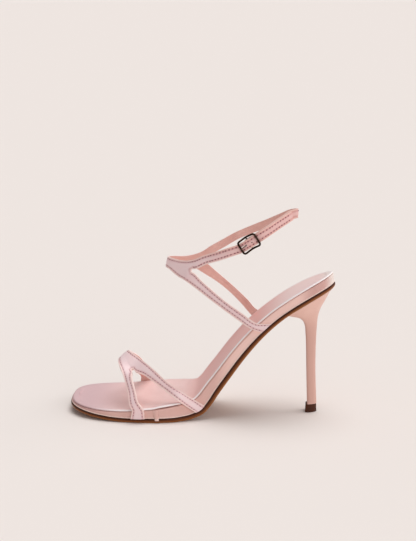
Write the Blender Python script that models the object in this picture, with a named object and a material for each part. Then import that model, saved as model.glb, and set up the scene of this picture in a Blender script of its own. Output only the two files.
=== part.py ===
# Strappy high-heeled sandal, left foot.
# Metres, +Z up, +X towards the heel, -Y on the outer side of the foot.
# The origin is on the floor under the ball of the foot.

import math

import bmesh
import bpy
from mathutils import Vector

# Sole in plan
toe_reach = 0.0628          # origin to the toe tip
back_reach = 0.1424         # origin to the back of the heel seat
ball_width = 0.0770
waist_width = 0.0470
seat_width = 0.0420
ball_end_x = 0.0050         # where the sole starts to narrow behind the ball
waist_x = 0.0620            # narrowest part of the arch
seat_x = 0.1080             # widest part of the heel seat
seat_round = 0.0360         # length of the rounded back of the seat
toe_roundness = 2.75        # exponent of the toe curve, 2 is an ellipse
seat_roundness = 1.85
toe_swing = 0.0020          # toe towards the inner side
waist_swing = 0.0012        # arch towards the outer side

# Sole from the side
heel_rise = 0.1010          # floor to the underside at the back of the seat
toe_spring = 0.0053
spring_power = 1.7          # how gently the toe spring starts
tread_front = 0.0120        # flat underside ahead of the origin
tread_back = 0.0215         # flat underside behind the origin
arch_roll = 0.0015          # how much higher the inner edge runs through the arch
back_upright = 0.75         # share of the seat's slope that its back edge stands up from
lean_window = 0.0040        # half of the length over which the layers take up a bend

# Layers of the sole, from the toe to the back
bend_x = 0.0350             # where the sole turns up from the tread into the arch
outsole_toe = 0.0022
outsole_ball = 0.0031
outsole_bend = 0.0035
outsole_waist = 0.0037
outsole_seat = 0.0029
outsole_back = 0.0029
wall_toe = 0.0013
wall_ball = 0.0063
wall_bend = 0.0094
wall_waist = 0.0066
wall_seat = 0.0060
wall_back = 0.0072
sock_thickness = 0.0012
outsole_bevel = 0.0009
outsole_top_edge = 0.0003
board_inset = 0.0005
board_rounding = 0.0004
sock_inset = 0.0010
sock_rounding = 0.0006
lower_edge = 0.0002         # rounding under the board and the sock
gap = 0.0003

# Heel
seat_front_x = 0.1058       # front lip of the heel under the seat
seat_inset = 0.0012         # heel inside the edge of the outsole
seat_half = 0.0185
shaft_x = 0.1249            # middle of the heel at the floor
shaft_length = 0.0078       # shaft from front to back
shaft_half = 0.0044
shaft_taper = 0.0006        # how much shorter the shaft is at its back
tip_height = 0.0062
tip_length = 0.0088
tip_half = 0.0049

# Vamp strap
vamp_thickness = 0.0018
vamp_rise = 0.0315          # footbed to the top of the strap
vamp_slope = 40.0           # slope of the strap across its top, in degrees
vamp_width = 0.0096
front_leg_x = -0.0068
front_leg_width = 0.0066
front_leg_foot = 0.0108     # width where the leg meets the sole
rear_leg_x = 0.0424
rear_leg_width = 0.0066
rear_leg_foot = 0.0084
rear_leg_slant = -0.0033    # how far the leg's top on the wall lies ahead of its foot
inner_leg_x = -0.0072

# Ankle harness
ankle_thickness = 0.0012
ankle_width = 0.0071
ankle_front_x = 0.0125
ankle_back_x = 0.1135
ankle_span = 0.0500         # width of the loop round the ankle
instep_rise = 0.0150        # heel seat level to the strap at the instep
ankle_rise = 0.0415         # the strap at the instep to the strap at the back
outer_ankle_leg_x = 0.0930
inner_ankle_leg_x = 0.0900
ankle_leg_width = 0.0058
ankle_leg_foot = 0.0096     # width where the leg meets the sole
outer_ankle_slant = -0.0060
inner_ankle_slant = -0.0030
leg_swell = 0.0022          # how far the legs curve out sideways
outer_leg_bow = -0.0008     # how far the legs curve up towards the heel
inner_leg_bow = 0.0016
inner_arm_shares = (0.90, 0.83, 0.80, 0.82, 0.89, 0.96)

# Buckle
buckle_length = 0.0159
buckle_height = 0.0118
buckle_wire = 0.0015
buckle_corner = 0.0017
buckle_slope = 33.0         # slope of the buckle along the strap, in degrees
buckle_bar = 0.0010
buckle_bow = 0.0034         # depth of the centre bar behind the end bars
prong_wire = 0.0008
prong_reach = 0.0009        # how far the prong's tip passes the end bar
slot_reach = 0.0026         # length of the slot beside the centre bar

strap_step = 0.0050         # longest stretch between two rows of a strap


def lerp(a, b, share):
    return a + (b - a) * share


def ease(start, end, x):
    share = min(max((x - start) / (end - start), 0.0), 1.0)
    return share * share * (3 - 2 * share)


def smooth_line(table):
    # A smooth line through (x, y) rows that never overshoots them.
    xs = [row[0] for row in table]
    ys = [row[1] for row in table]
    last = len(xs) - 1
    slopes = [(ys[i + 1] - ys[i]) / (xs[i + 1] - xs[i]) for i in range(last)]
    tangents = [slopes[0]]
    for i in range(1, last):
        product = slopes[i - 1] * slopes[i]
        mean = (slopes[i - 1] + slopes[i]) / 2
        tangents.append(product / mean if product > 0 else 0.0)
    tangents.append(slopes[-1])

    def value(x):
        x = min(max(x, xs[0]), xs[-1])
        i = min(sum(x > other for other in xs[1:]), last - 1)
        length = xs[i + 1] - xs[i]
        t = (x - xs[i]) / length
        return (
            (2 * t ** 3 - 3 * t ** 2 + 1) * ys[i]
            + (t ** 3 - 2 * t ** 2 + t) * length * tangents[i]
            + (3 * t ** 2 - 2 * t ** 3) * ys[i + 1]
            + (t ** 3 - t ** 2) * length * tangents[i + 1]
        )

    return value


# Underside of the arch: share of the run from the tread to the back, share of heel_rise.
arch = smooth_line([
    (0.000, 0.000),
    (0.080, 0.010),
    (0.130, 0.027),
    (0.175, 0.052),
    (0.215, 0.104),
    (0.270, 0.206),
    (0.340, 0.328),
    (0.420, 0.462),
    (0.500, 0.579),
    (0.600, 0.700),
    (0.720, 0.815),
    (0.860, 0.916),
    (1.000, 1.000),
])


def layer(toe, ball, bend, waist, seat, back):
    # Thickness of one layer of the sole along the foot.
    return smooth_line([
        (-toe_reach, toe),
        (0.0, ball),
        (bend_x, bend),
        (waist_x, waist),
        (seat_x, seat),
        (back_reach, back),
    ])


outsole_height = layer(
    outsole_toe, outsole_ball, outsole_bend, outsole_waist, outsole_seat, outsole_back)
wall_height = layer(wall_toe, wall_ball, wall_bend, wall_waist, wall_seat, wall_back)


def board_low(x):
    return outsole_height(x) + gap


def board_high(x):
    return board_low(x) + wall_height(x)


def sock_low(x):
    return board_high(x) + gap


def sock_high(x):
    return sock_low(x) + sock_thickness


def underside(x):
    if x < -tread_front:
        share = (-tread_front - x) / (toe_reach - tread_front)
        return toe_spring * share ** spring_power
    if x < tread_back:
        return 0.0
    return heel_rise * arch((x - tread_back) / (back_reach - tread_back))


def slope_angle(x):
    step = 0.0005
    return math.atan2(underside(x + step) - underside(x - step), 2 * step)


def lean(x):
    # How far the layers lean forward from upright at one place along the sole.
    upright = back_upright * ease(seat_x, back_reach, x)
    last = back_reach - lean_window / 4
    slopes = [slope_angle(min(x + step * lean_window, last)) for step in (-2, -1, 0, 1, 2)]
    return sum(slopes) / len(slopes) * (1 - upright)


def round_end(share, roundness):
    share = min(max(share, 0.0), 1.0)
    return (1 - share ** roundness) ** (1 / roundness)


def half_width(x, inset):
    forefoot = lerp(ball_width, waist_width, ease(ball_end_x, waist_x, x))
    whole = lerp(forefoot, seat_width, ease(waist_x, seat_x, x))
    toe = round_end(-x / (toe_reach - inset), toe_roundness)
    seat_start = back_reach - inset - seat_round
    seat = round_end((x - seat_start) / seat_round, seat_roundness)
    return (whole / 2 - inset) * toe * seat


def middle(x):
    toe = toe_swing * min(max(-x / toe_reach, 0.0), 1.0) ** 2
    waist = waist_swing * ease(ball_end_x, waist_x, x) * (1 - ease(waist_x, seat_x, x))
    return toe - waist


def roll(x):
    return arch_roll * ease(tread_back, waist_x, x) * (1 - ease(waist_x, seat_x, x))


def sole_point(x, side, half, height):
    # A point of the sole: side runs from -1 at the outer edge to 1 at the inner edge.
    angle = lean(x)
    up = height + roll(x) * side / 2
    return Vector((
        x - math.sin(angle) * up,
        middle(x) + side * half,
        underside(x) + math.cos(angle) * up,
    ))


def sole_stations(inset):
    # Places along the sole, closer together round the toe and the back of the seat.
    stations = []
    toe_steps = 8
    for step in range(toe_steps):
        angle = math.radians(4 + 86 * (step / toe_steps) ** 1.15)
        stations.append(-(toe_reach - inset) * math.cos(angle) ** (2 / toe_roundness))
    seat_start = back_reach - inset - seat_round
    run_steps = 26
    for step in range(run_steps):
        share = step / run_steps
        stations.append(seat_start * share)
    seat_steps = 7
    for step in range(seat_steps + 1):
        angle = math.radians(90 - 86 * (step / seat_steps) ** 0.85)
        stations.append(seat_start + seat_round * math.cos(angle) ** (2 / seat_roundness))
    return stations


def finish(name, bm, colour, roughness, metallic=0.0, sharp=40.0):
    bmesh.ops.remove_doubles(bm, verts=bm.verts, dist=0.000001)
    bmesh.ops.recalc_face_normals(bm, faces=bm.faces)
    mesh = bpy.data.meshes.new(name)
    bm.to_mesh(mesh)
    bm.free()
    material = bpy.data.materials.new(name)
    material.use_nodes = True
    shader = material.node_tree.nodes["Principled BSDF"]
    shader.inputs["Base Color"].default_value = (*colour, 1.0)
    shader.inputs["Roughness"].default_value = roughness
    shader.inputs["Metallic"].default_value = metallic
    material.diffuse_color = (*colour, 1.0)
    mesh.materials.append(material)
    mesh.shade_smooth()
    mesh.set_sharp_from_angle(angle=math.radians(sharp))
    piece = bpy.data.objects.new(name, mesh)
    bpy.context.collection.objects.link(piece)
    return piece


def add_rows(bm, rows):
    return [[bm.verts.new(point) for point in row] for row in rows]


def skin(bm, rows, skip=()):
    # Quads between neighbouring rows of vertices, apart from the (row, column) pairs skipped.
    for i in range(len(rows) - 1):
        for j in range(len(rows[i]) - 1):
            if (i, j) not in skip:
                bm.faces.new((rows[i][j], rows[i][j + 1], rows[i + 1][j + 1], rows[i + 1][j]))


def slab(name, inset, low, high, low_bevel, high_bevel, colour, roughness):
    # One layer of the sole, as a closed solid between its lower and upper faces.
    lower = []
    upper = []
    for x in sole_stations(inset):
        half = half_width(x, inset)
        for rows, height, bevel, turn in ((lower, low, low_bevel, 1), (upper, high, high_bevel, -1)):
            edge = 1 - min(bevel / half, 0.4)
            row = []
            for side in (-1.0, -edge, -edge / 2, 0.0, edge / 2, edge, 1.0):
                cut = bevel * turn if abs(side) == 1.0 else 0.0
                row.append(sole_point(x, side, half, height(x) + cut))
            rows.append(row)
    bm = bmesh.new()
    lower = add_rows(bm, lower)
    upper = add_rows(bm, upper)
    skin(bm, lower)
    skin(bm, upper)
    skin(bm, [[row[0] for row in lower], [row[0] for row in upper]])
    skin(bm, [[row[-1] for row in lower], [row[-1] for row in upper]])
    skin(bm, [lower[0], upper[0]])
    skin(bm, [lower[-1], upper[-1]])
    return finish(name, bm, colour, roughness)


def ground(x):
    return 0.0


def make_sole():
    slab("outsole", 0.0, ground, outsole_height, outsole_bevel, outsole_top_edge,
         (0.12, 0.045, 0.02), 0.45)
    slab("insole_board", board_inset, board_low, board_high, lower_edge, board_rounding,
         (0.62, 0.33, 0.30), 0.5)
    slab("insole_sock", sock_inset, sock_low, sock_high, lower_edge, sock_rounding,
         (0.66, 0.40, 0.38), 0.5)


# Plan of the heel: share from its front to its back, share of its half width.
heel_plan = [
    (0.00, 0.80),
    (0.04, 0.93),
    (0.14, 1.00),
    (0.32, 0.97),
    (0.52, 0.86),
    (0.72, 0.68),
    (0.88, 0.45),
    (0.97, 0.22),
    (1.00, 0.08),
]

# Sections of the heel: how far down the front and the back edge are, as shares of the heel's
# height, how far back the front edge has come and how far forward the back edge has come,
# as shares of their way to the shaft, and how far the half width has shrunk to the shaft's.
heel_sections = [
    # front_down, back_down, front_in, back_in, shrink
    (0.020, 0.040, 0.30, 0.22, 0.18),
    (0.042, 0.112, 0.60, 0.48, 0.42),
    (0.078, 0.180, 0.79, 0.74, 0.64),
    (0.130, 0.240, 0.89, 0.88, 0.80),
    (0.230, 0.340, 0.94, 0.96, 0.91),
    (0.360, 0.480, 0.97, 1.00, 0.97),
    (0.600, 0.680, 1.00, 1.01, 1.00),
    (1.000, 1.000, 1.06, 0.92, 1.00),
]


def heel_ring(front, back, half, rows=heel_plan):
    left = []
    right = []
    for along, across in rows:
        point = front.lerp(back, along)
        left.append(point + Vector((0, -half * across, 0)))
        right.append(point + Vector((0, half * across, 0)))
    return left, right


def close_rings(name, rings, colour, roughness):
    # A closed solid through D-shaped rings, each a left and a right run from front to back.
    bm = bmesh.new()
    lefts = add_rows(bm, [ring[0] for ring in rings])
    rights = add_rows(bm, [ring[1] for ring in rings])
    skin(bm, lefts)
    skin(bm, rights)
    skin(bm, [[row[0] for row in lefts], [row[0] for row in rights]])
    skin(bm, [[row[-1] for row in lefts], [row[-1] for row in rights]])
    skin(bm, [lefts[0], rights[0]])
    skin(bm, [lefts[-1], rights[-1]])
    return finish(name, bm, colour, roughness)


def make_heel():
    seat_back_x = back_reach - seat_inset
    left = []
    right = []
    for along, across in heel_plan:
        x = lerp(seat_front_x, seat_back_x, along)
        half = min(seat_half * across, half_width(x, seat_inset))
        for side, run in ((-1, left), (1, right)):
            share = side * half / half_width(x, 0.0)
            run.append(sole_point(x, share, half_width(x, 0.0), -gap))
    rings = [(left, right)]
    bottom = tip_height + gap
    front_top = underside(seat_front_x)
    back_top = underside(seat_back_x)
    shaft_front = shaft_x - shaft_length / 2
    shaft_back = shaft_x + shaft_length / 2 - shaft_taper
    for front_down, back_down, front_in, back_in, shrink in heel_sections:
        front = Vector((
            lerp(seat_front_x, shaft_front, front_in), 0.0, lerp(front_top, bottom, front_down)))
        back = Vector((
            lerp(seat_back_x, shaft_back, back_in), 0.0, lerp(back_top, bottom, back_down)))
        rings.append(heel_ring(front, back, lerp(seat_half, shaft_half, shrink)))
    close_rings("heel", rings, (0.66, 0.36, 0.30), 0.45)


def make_heel_tip():
    rings = []
    for height, grow in ((tip_height, 0.94), (tip_height * 0.8, 0.96), (0.0, 1.0)):
        length = tip_length * grow
        front = Vector((shaft_x - length / 2, 0.0, height))
        back = Vector((shaft_x + length / 2, 0.0, height))
        rings.append(heel_ring(front, back, tip_half * grow))
    close_rings("heel_tip", rings, (0.07, 0.03, 0.02), 0.5)


def run_counts(rows):
    counts = []
    for row, following in zip(rows, rows[1:]):
        a = sum(row, Vector()) / len(row)
        b = sum(following, Vector()) / len(following)
        counts.append(max(1, round((b - a).length / strap_step)))
    return counts


def refine(rows, counts):
    # Rows of points on smooth lines through the given rows, column by column.
    lengths = []
    for row, following in zip(rows, rows[1:]):
        a = sum(row, Vector()) / len(row)
        b = sum(following, Vector()) / len(following)
        lengths.append(max((b - a).length, 0.00001))
    columns = []
    for column in zip(*rows):
        slopes = [(b - a) / length for a, b, length in zip(column, column[1:], lengths)]
        tangents = [slopes[0]]
        for i in range(1, len(slopes)):
            before = lengths[i - 1]
            after = lengths[i]
            tangents.append((slopes[i - 1] * after + slopes[i] * before) / (before + after))
        tangents.append(slopes[-1])
        points = [column[0]]
        for i, count in enumerate(counts):
            for step in range(1, count + 1):
                t = step / count
                points.append(
                    (2 * t ** 3 - 3 * t ** 2 + 1) * column[i]
                    + (t ** 3 - 2 * t ** 2 + t) * lengths[i] * tangents[i]
                    + (3 * t ** 2 - 2 * t ** 3) * column[i + 1]
                    + (t ** 3 - t ** 2) * lengths[i] * tangents[i + 1]
                )
        columns.append(points)
    return [list(row) for row in zip(*columns)]


def solidify(piece, thickness):
    wall = piece.modifiers.new("wall", "SOLIDIFY")
    wall.thickness = thickness
    wall.offset = 0.0
    wall.use_even_offset = True


def forked_strap(name, first, second, stem, thickness, colour, holes=()):
    # Two bands that share an edge along the stem and part beyond it.
    # stem gives, for each band, its first and last control row on the stem.
    counts = [run_counts(first), run_counts(second)]
    (start_a, end_a), (start_b, end_b) = stem
    for step in range(end_a - start_a):
        shared = max(counts[0][start_a + step], counts[1][start_b + step])
        counts[0][start_a + step] = shared
        counts[1][start_b + step] = shared
    rows_a = refine(first, counts[0])
    rows_b = refine(second, counts[1])
    row_a = sum(counts[0][:start_a])
    row_b = sum(counts[1][:start_b])
    length = sum(counts[0][start_a:end_a])
    bm = bmesh.new()
    for step in range(length + 1):
        shared = (rows_a[row_a + step][-1] + rows_b[row_b + step][0]) / 2
        rows_a[row_a + step][-1] = shared
        rows_b[row_b + step][0] = shared
    verts_a = add_rows(bm, rows_a)
    verts_b = []
    for i, row in enumerate(rows_b):
        on_stem = row_b <= i <= row_b + length
        kept = [verts_a[row_a + i - row_b][-1]] if on_stem else [bm.verts.new(row[0])]
        verts_b.append(kept + [bm.verts.new(point) for point in row[1:]])
    middle_column = (len(rows_a[0]) - 1) // 2
    skip = set()
    for hole in holes:
        start = sum(counts[0][:hole])
        skip.update((start + step, middle_column) for step in range(counts[0][hole]))
    skin(bm, verts_a, skip)
    skin(bm, verts_b)
    piece = finish(name, bm, colour, 0.5)
    solidify(piece, thickness)
    return piece


def columns_between(start, end, shares):
    return [start.lerp(end, share) for share in shares]


def band_row(centre, along, facing, width, shares):
    # One row of a band: along is its direction, facing the side that its face looks to.
    across = along.cross(facing).normalized()
    return columns_between(centre - across * width / 2, centre + across * width / 2, shares)


# Places along the sole, to find where a point beside it belongs.
place_count = 300
places = []
for place_number in range(place_count + 1):
    place_x = lerp(-toe_reach, back_reach, place_number / place_count)
    places.append((place_x, underside(place_x), math.sin(lean(place_x)), math.cos(lean(place_x))))


def wall_side(point, side, out):
    # Moves a point sideways until it is a given way out from the board's wall.
    def miss(place):
        x, z, sine, cosine = place
        return abs((point.x - x) * cosine + (point.z - z) * sine)

    x = min(places, key=miss)[0]
    return Vector((point.x, middle(x) + side * (half_width(x, board_inset) + out), point.z))


def foot_rows(x, side, foot_width, top_width, slant_back, thickness, shares):
    # The two rows of a leg that lie on the board's wall, the upper one first, moved along the
    # sole by slant_back. Columns run towards the heel.
    out = gap + thickness / 2
    angle = slope_angle(x)
    spread = math.cos(angle)
    low = []
    for share in shares:
        place = x + (share - 0.5) * foot_width * spread
        height = outsole_height(place) + 2 * gap
        point = sole_point(place, side, half_width(place, board_inset), height)
        low.append(Vector((point.x, middle(place) + side * (half_width(place, board_inset) + out), point.z)))
    centre = sole_point(x, side, 0.0, sock_high(x))
    slant = Vector((math.cos(angle), 0.0, math.sin(angle)))
    high = []
    for share in shares:
        along = (share - 0.5) * top_width + slant_back
        high.append(wall_side(centre + slant * along, side, out))
    return [high, low]


vamp_shares = (0.0, 0.25, 0.5, 0.75, 1.0)


def vamp_place(along, side, rise):
    # along is a share of toe_reach, side of half the ball width, rise of vamp_rise.
    return Vector((
        along * toe_reach,
        side * ball_width / 2,
        sock_high(0.0) + rise * vamp_rise,
    ))


def vamp_facing(side, turn):
    # turn is 0 where the strap faces sideways and 90 where it faces up, square to its slope.
    slope = math.radians(vamp_slope)
    turn = math.radians(turn)
    return Vector((
        -math.sin(slope) * math.sin(turn),
        side * math.cos(turn),
        math.cos(slope) * math.sin(turn),
    ))


def make_vamp_strap():
    # Across the top: front edge, shared middle and rear edge, as shares.
    crown = ((-0.396, 0.02, 0.87), (-0.330, 0.03, 0.985), (-0.262, 0.03, 1.09))
    shoulder = ((-0.390, -0.17, 0.84), (-0.290, -0.15, 0.92), (-0.205, -0.08, 1.05))
    fork = ((-0.353, -0.37, 0.78), (-0.208, -0.36, 0.755), (-0.142, -0.17, 1.00))
    top = [[vamp_place(*place) for place in row] for row in (crown, shoulder, fork)]

    # Down the inner side: along, side, rise, turn.
    inner_side = [
        (-0.300, 0.34, 0.88, 62),
        (-0.240, 0.62, 0.64, 42),
        (-0.170, 0.84, 0.36, 24),
        (-0.120, 0.97, 0.12, 8),
    ]
    # Down the outer side, the front leg: along, side, rise, turn, share of the leg's width.
    front_side = [
        (-0.235, -0.66, 0.610, 36, 0.92),
        (-0.182, -0.87, 0.348, 18, 0.92),
        (-0.147, -0.98, 0.126, 5, 1.07),
    ]
    # Down the outer side, the rear leg.
    rear_side = [
        (-0.015, -0.52, 0.792, 48, 1.27),
        (0.235, -0.74, 0.485, 34, 0.94),
        (0.422, -0.895, 0.252, 10, 0.97),
    ]
    rows_front = []
    rows_rear = []
    inner_feet = foot_rows(inner_leg_x, 1, vamp_width, vamp_width, 0.0, vamp_thickness,
                           two_bands(vamp_shares))
    half_count = len(vamp_shares)
    for row in reversed(inner_feet):
        rows_front.append(row[:half_count])
        rows_rear.append(row[half_count - 1:])
    stops = [vamp_place(*row[:3]) for row in inner_side] + [top[0][1]]
    for i in reversed(range(len(inner_side))):
        direction = stops[i + 1] - (stops[i - 1] if i else stops[0])
        row = band_row(stops[i], direction, vamp_facing(1, inner_side[i][3]), vamp_width,
                       two_bands(vamp_shares))
        if row[0].x > row[-1].x:
            row.reverse()
        if i == len(inner_side) - 1:
            row = [wall_side(point, 1, gap + vamp_thickness / 2) for point in row]
        rows_front.append(row[:half_count])
        rows_rear.append(row[half_count - 1:])
    stem_end = len(rows_front) + len(top) - 1
    for front, mid, rear in top:
        rows_front.append(columns_between(front, mid, vamp_shares))
        rows_rear.append(columns_between(mid, rear, vamp_shares))
    add_leg(rows_front, front_side, front_leg_x, front_leg_width, front_leg_foot, 0.0)
    add_leg(rows_rear, rear_side, rear_leg_x, rear_leg_width, rear_leg_foot, rear_leg_slant)
    forked_strap("vamp_strap", rows_front, rows_rear, ((0, stem_end), (0, stem_end)),
                 vamp_thickness, (0.68, 0.40, 0.40))


def two_bands(shares):
    # The columns of a strap that will part into two bands of equal width.
    lower = [share / 2 for share in shares]
    upper = [0.5 + share / 2 for share in shares]
    return lower + upper[1:]


def add_leg(rows, table, foot_x, width, foot_width, slant):
    # Adds a leg's free rows and its rows on the wall of the outer side.
    top_width = (width + foot_width) / 2
    feet = foot_rows(foot_x, -1, foot_width, top_width, slant, vamp_thickness, vamp_shares)
    before = sum(rows[-1], Vector()) / len(vamp_shares)
    after = sum(feet[0], Vector()) / len(vamp_shares)
    stops = [before] + [vamp_place(*row[:3]) for row in table] + [after]
    for i, row in enumerate(table, start=1):
        direction = stops[i + 1] - stops[i - 1]
        line = band_row(stops[i], direction, vamp_facing(-1, row[3]), width * row[4], vamp_shares)
        if (line[0] - line[-1]).dot(rows[-1][0] - rows[-1][-1]) < 0:
            line.reverse()
        if i == len(table):
            line = [wall_side(point, -1, gap + vamp_thickness / 2) for point in line]
        rows.append(line)
    rows.extend(feet)


# A narrow middle column, where a hole lets the prong through.
hole_half = 0.12
ankle_shares = (0.0, 0.19, 0.5 - hole_half, 0.5 + hole_half, 0.81, 1.0)


def ankle_place(along, side, rise):
    # along is a share of the loop's length, side of half its width, rise of its rise.
    return Vector((
        lerp(ankle_front_x, ankle_back_x, along),
        side * ankle_span / 2,
        heel_rise + instep_rise + rise * ankle_rise,
    ))


def arm_rows(points, width, shares=()):
    # Rows of a band that stands on edge along the given points, upper edge first.
    # The shares narrow the band at its first points.
    rows = []
    for i, point in enumerate(points):
        half = width / 2 * (shares[i] if i < len(shares) else 1.0)
        direction = points[min(i + 1, len(points) - 1)] - points[max(i - 1, 0)]
        outward = Vector((direction.y, -direction.x, 0.0)).normalized()
        across = direction.cross(outward).normalized()
        if across.z < 0:
            across = -across
        rows.append(columns_between(point + across * half, point - across * half, ankle_shares))
    return rows


buckle_along = Vector((math.cos(math.radians(buckle_slope)), 0.0, math.sin(math.radians(buckle_slope))))
buckle_across = Vector((-buckle_along.z, 0.0, buckle_along.x))
buckle_out = Vector((0.0, -1.0, 0.0))
buckle_middle = ankle_place(0.638, -1.0, 0.535)


def buckle_point(along, across, depth):
    return buckle_middle + buckle_along * along + buckle_across * across - buckle_out * depth


def make_ankle_harness():
    outer_depth = buckle_wire / 2 + gap + ankle_thickness / 2
    inner_depth = outer_depth + ankle_thickness + gap
    loop_radius = buckle_bar / 2 + gap + ankle_thickness / 2
    hump_depth = buckle_bow - loop_radius - ankle_thickness - gap
    half = buckle_length / 2

    # The outer arm, from the fork to the end of its tail: along, side, rise.
    outer_arm = [ankle_place(*row) for row in (
        (0.312, -0.60, 0.178),
        (0.405, -0.80, 0.272),
        (0.490, -0.93, 0.362),
    )]
    through = [
        buckle_point(-half + 0.0014, 0.0, outer_depth),
        buckle_point(-0.0018, 0.0, hump_depth + 0.0003),
        buckle_point(0.0012, 0.0, hump_depth),
        buckle_point(half - 0.0010, 0.0, outer_depth),
        buckle_point(half + 0.002, 0.0, outer_depth),
    ]
    tail = [ankle_place(*row) for row in (
        (0.784, -0.815, 0.755),
        (0.850, -0.60, 0.845),
        (0.915, -0.36, 0.925),
        (0.950, -0.20, 0.965),
    )]
    outer_points = outer_arm + through + tail
    outer_rows = arm_rows(outer_points, ankle_width)
    hole = len(outer_arm)

    # The inner arm, round the back and on to the buckle's bar.
    inner_arm = [ankle_place(*row) for row in (
        (0.335, 0.95, 0.152),
        (0.430, 1.00, 0.287),
        (0.520, 1.01, 0.415),
        (0.640, 0.96, 0.553),
        (0.760, 0.79, 0.690),
        (0.870, 0.52, 0.835),
        (0.955, 0.22, 0.955),
        (0.992, 0.00, 0.990),
    )]
    under_tail = []
    line = outer_points + inner_arm[-1:]
    first_under = len(outer_arm) + len(through) - 1
    for i in reversed(range(first_under, len(outer_points))):
        direction = line[i + 1] - line[i - 1]
        inward = Vector((-direction.y, direction.x, 0.0)).normalized()
        under_tail.append(line[i] + inward * (ankle_thickness + gap))
    to_bar = [
        buckle_point(half - 0.0010, 0.0, inner_depth),
        buckle_point(slot_reach, 0.0, buckle_bow - loop_radius + 0.0003),
    ]
    loop_steps = 6
    for step in range(loop_steps + 1):
        turn = math.radians(90 + 180 * step / loop_steps)
        to_bar.append(buckle_point(
            loop_radius * math.cos(turn), 0.0, buckle_bow - loop_radius * math.sin(turn)))
    fold_depth = max(inner_depth + ankle_thickness + gap, buckle_bow + loop_radius)
    to_bar.append(buckle_point(slot_reach, 0.0, fold_depth))
    to_bar.append(buckle_point(half - 0.0020, 0.0, fold_depth))
    to_bar.append(buckle_point(half + 0.0025, 0.0, fold_depth))
    inner_points = inner_arm + under_tail + to_bar
    inner_rows = arm_rows(inner_points, ankle_width, inner_arm_shares)
    upright_rows(inner_rows, len(inner_points) - len(to_bar) - 1)
    upright_rows(outer_rows, len(outer_arm), len(outer_arm) + len(through))
    slot_start = len(inner_points) - len(to_bar) + 1

    # Round the instep point: top, shared middle and bottom of each row, as shares.
    instep = [
        ((0.208, -0.32, 0.130), (0.196, -0.32, -0.066), (0.145, -0.24, -0.268)),
        ((0.138, -0.08, 0.080), (0.124, -0.08, -0.055), (0.088, -0.03, -0.222)),
        ((0.068, 0.14, 0.075), (0.055, 0.14, -0.025), (0.030, 0.18, -0.140)),
        ((0.010, 0.40, 0.092), (0.001, 0.40, -0.002), (-0.008, 0.40, -0.104)),
        ((0.040, 0.58, 0.075), (0.032, 0.58, -0.025), (0.018, 0.58, -0.140)),
        ((0.130, 0.74, 0.055), (0.120, 0.74, -0.055), (0.090, 0.72, -0.225)),
        ((0.262, 0.90, 0.128), (0.285, 0.87, -0.066), (0.205, 0.84, -0.190)),
    ]
    upper_rows = list(reversed(outer_rows))
    lower_rows = leg_rows(instep[0], -1, outer_ankle_leg_x, outer_ankle_slant, outer_leg_bow,
                          (1.06, 1.06, 1.17, 1.32))
    starts = (len(upper_rows), len(lower_rows))
    for top, mid, bottom in instep:
        upper_rows.append(columns_between(ankle_place(*top), ankle_place(*mid), ankle_shares))
        lower_rows.append(columns_between(ankle_place(*mid), ankle_place(*bottom), ankle_shares))
    ends = (len(upper_rows) - 1, len(lower_rows) - 1)
    holes = [starts[0] - 2 - hole] + [ends[0] + 1 + slot_start + step for step in range(loop_steps + 2)]
    upper_rows.extend(inner_rows)
    inner_leg = leg_rows(instep[-1], 1, inner_ankle_leg_x, inner_ankle_slant, inner_leg_bow,
                         (1.00, 0.92, 1.01, 1.25))
    lower_rows.extend(reversed(inner_leg))
    forked_strap("ankle_harness", upper_rows, lower_rows,
                 ((starts[0], ends[0]), (starts[1], ends[1])),
                 ankle_thickness, (0.68, 0.40, 0.40), holes)


def upright_rows(rows, start, end=None):
    # Turns rows square to the buckle, about their own middles.
    for i in range(start, len(rows) if end is None else end):
        centre = (rows[i][0] + rows[i][-1]) / 2
        top = centre + buckle_across * ankle_width / 2
        bottom = centre - buckle_across * ankle_width / 2
        rows[i] = columns_between(top, bottom, ankle_shares)


def leg_rows(fork_row, side, foot_x, slant, bow, widths):
    # Rows of a leg from the sole up towards the fork, the edge towards the heel first.
    # widths are shares of the leg's width, from the sole up.
    feet = foot_rows(foot_x, side, ankle_leg_foot, ankle_leg_width, slant, ankle_thickness, ankle_shares)
    feet = [list(reversed(row)) for row in feet]
    bottom_end = (feet[0][0] + feet[0][-1]) / 2
    top_end = (ankle_place(*fork_row[1]) + ankle_place(*fork_row[2])) / 2
    rows = list(reversed(feet))
    direction = top_end - bottom_end
    facing = Vector((0.0, side, 0.0))
    curve = Vector((bow, side * leg_swell, bow))
    for share, width in zip((0.20, 0.46, 0.68, 0.85), widths):
        centre = bottom_end.lerp(top_end, share) + curve * math.sin(math.pi * share)
        row = band_row(centre, direction, facing, ankle_leg_width * width, ankle_shares)
        if row[0].x < row[-1].x:
            row.reverse()
        rows.append(row)
    return rows


def tube(bm, points, radii, sides, closed=False):
    # A round bar along a line of points, with flat ends unless it is closed.
    rings = []
    last = len(points) - 1
    normal = Vector((0.0, 1.0, 0.0))
    for i, point in enumerate(points):
        before = points[i - 1] if closed or i else point
        after = points[(i + 1) % len(points)] if closed or i < last else point
        direction = (after - before).normalized()
        normal = (normal - direction * normal.dot(direction)).normalized()
        other = direction.cross(normal)
        ring = []
        for number in range(sides):
            turn = 2 * math.pi * number / sides
            ring.append(bm.verts.new(point + (normal * math.cos(turn) + other * math.sin(turn)) * radii[i]))
        rings.append(ring)
    pairs = list(zip(rings, rings[1:]))
    if closed:
        pairs.append((rings[-1], rings[0]))
    for ring, following in pairs:
        for number in range(sides):
            beyond = (number + 1) % sides
            bm.faces.new((ring[number], ring[beyond], following[beyond], following[number]))
    if not closed:
        bm.faces.new(rings[0])
        bm.faces.new(rings[-1])


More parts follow.
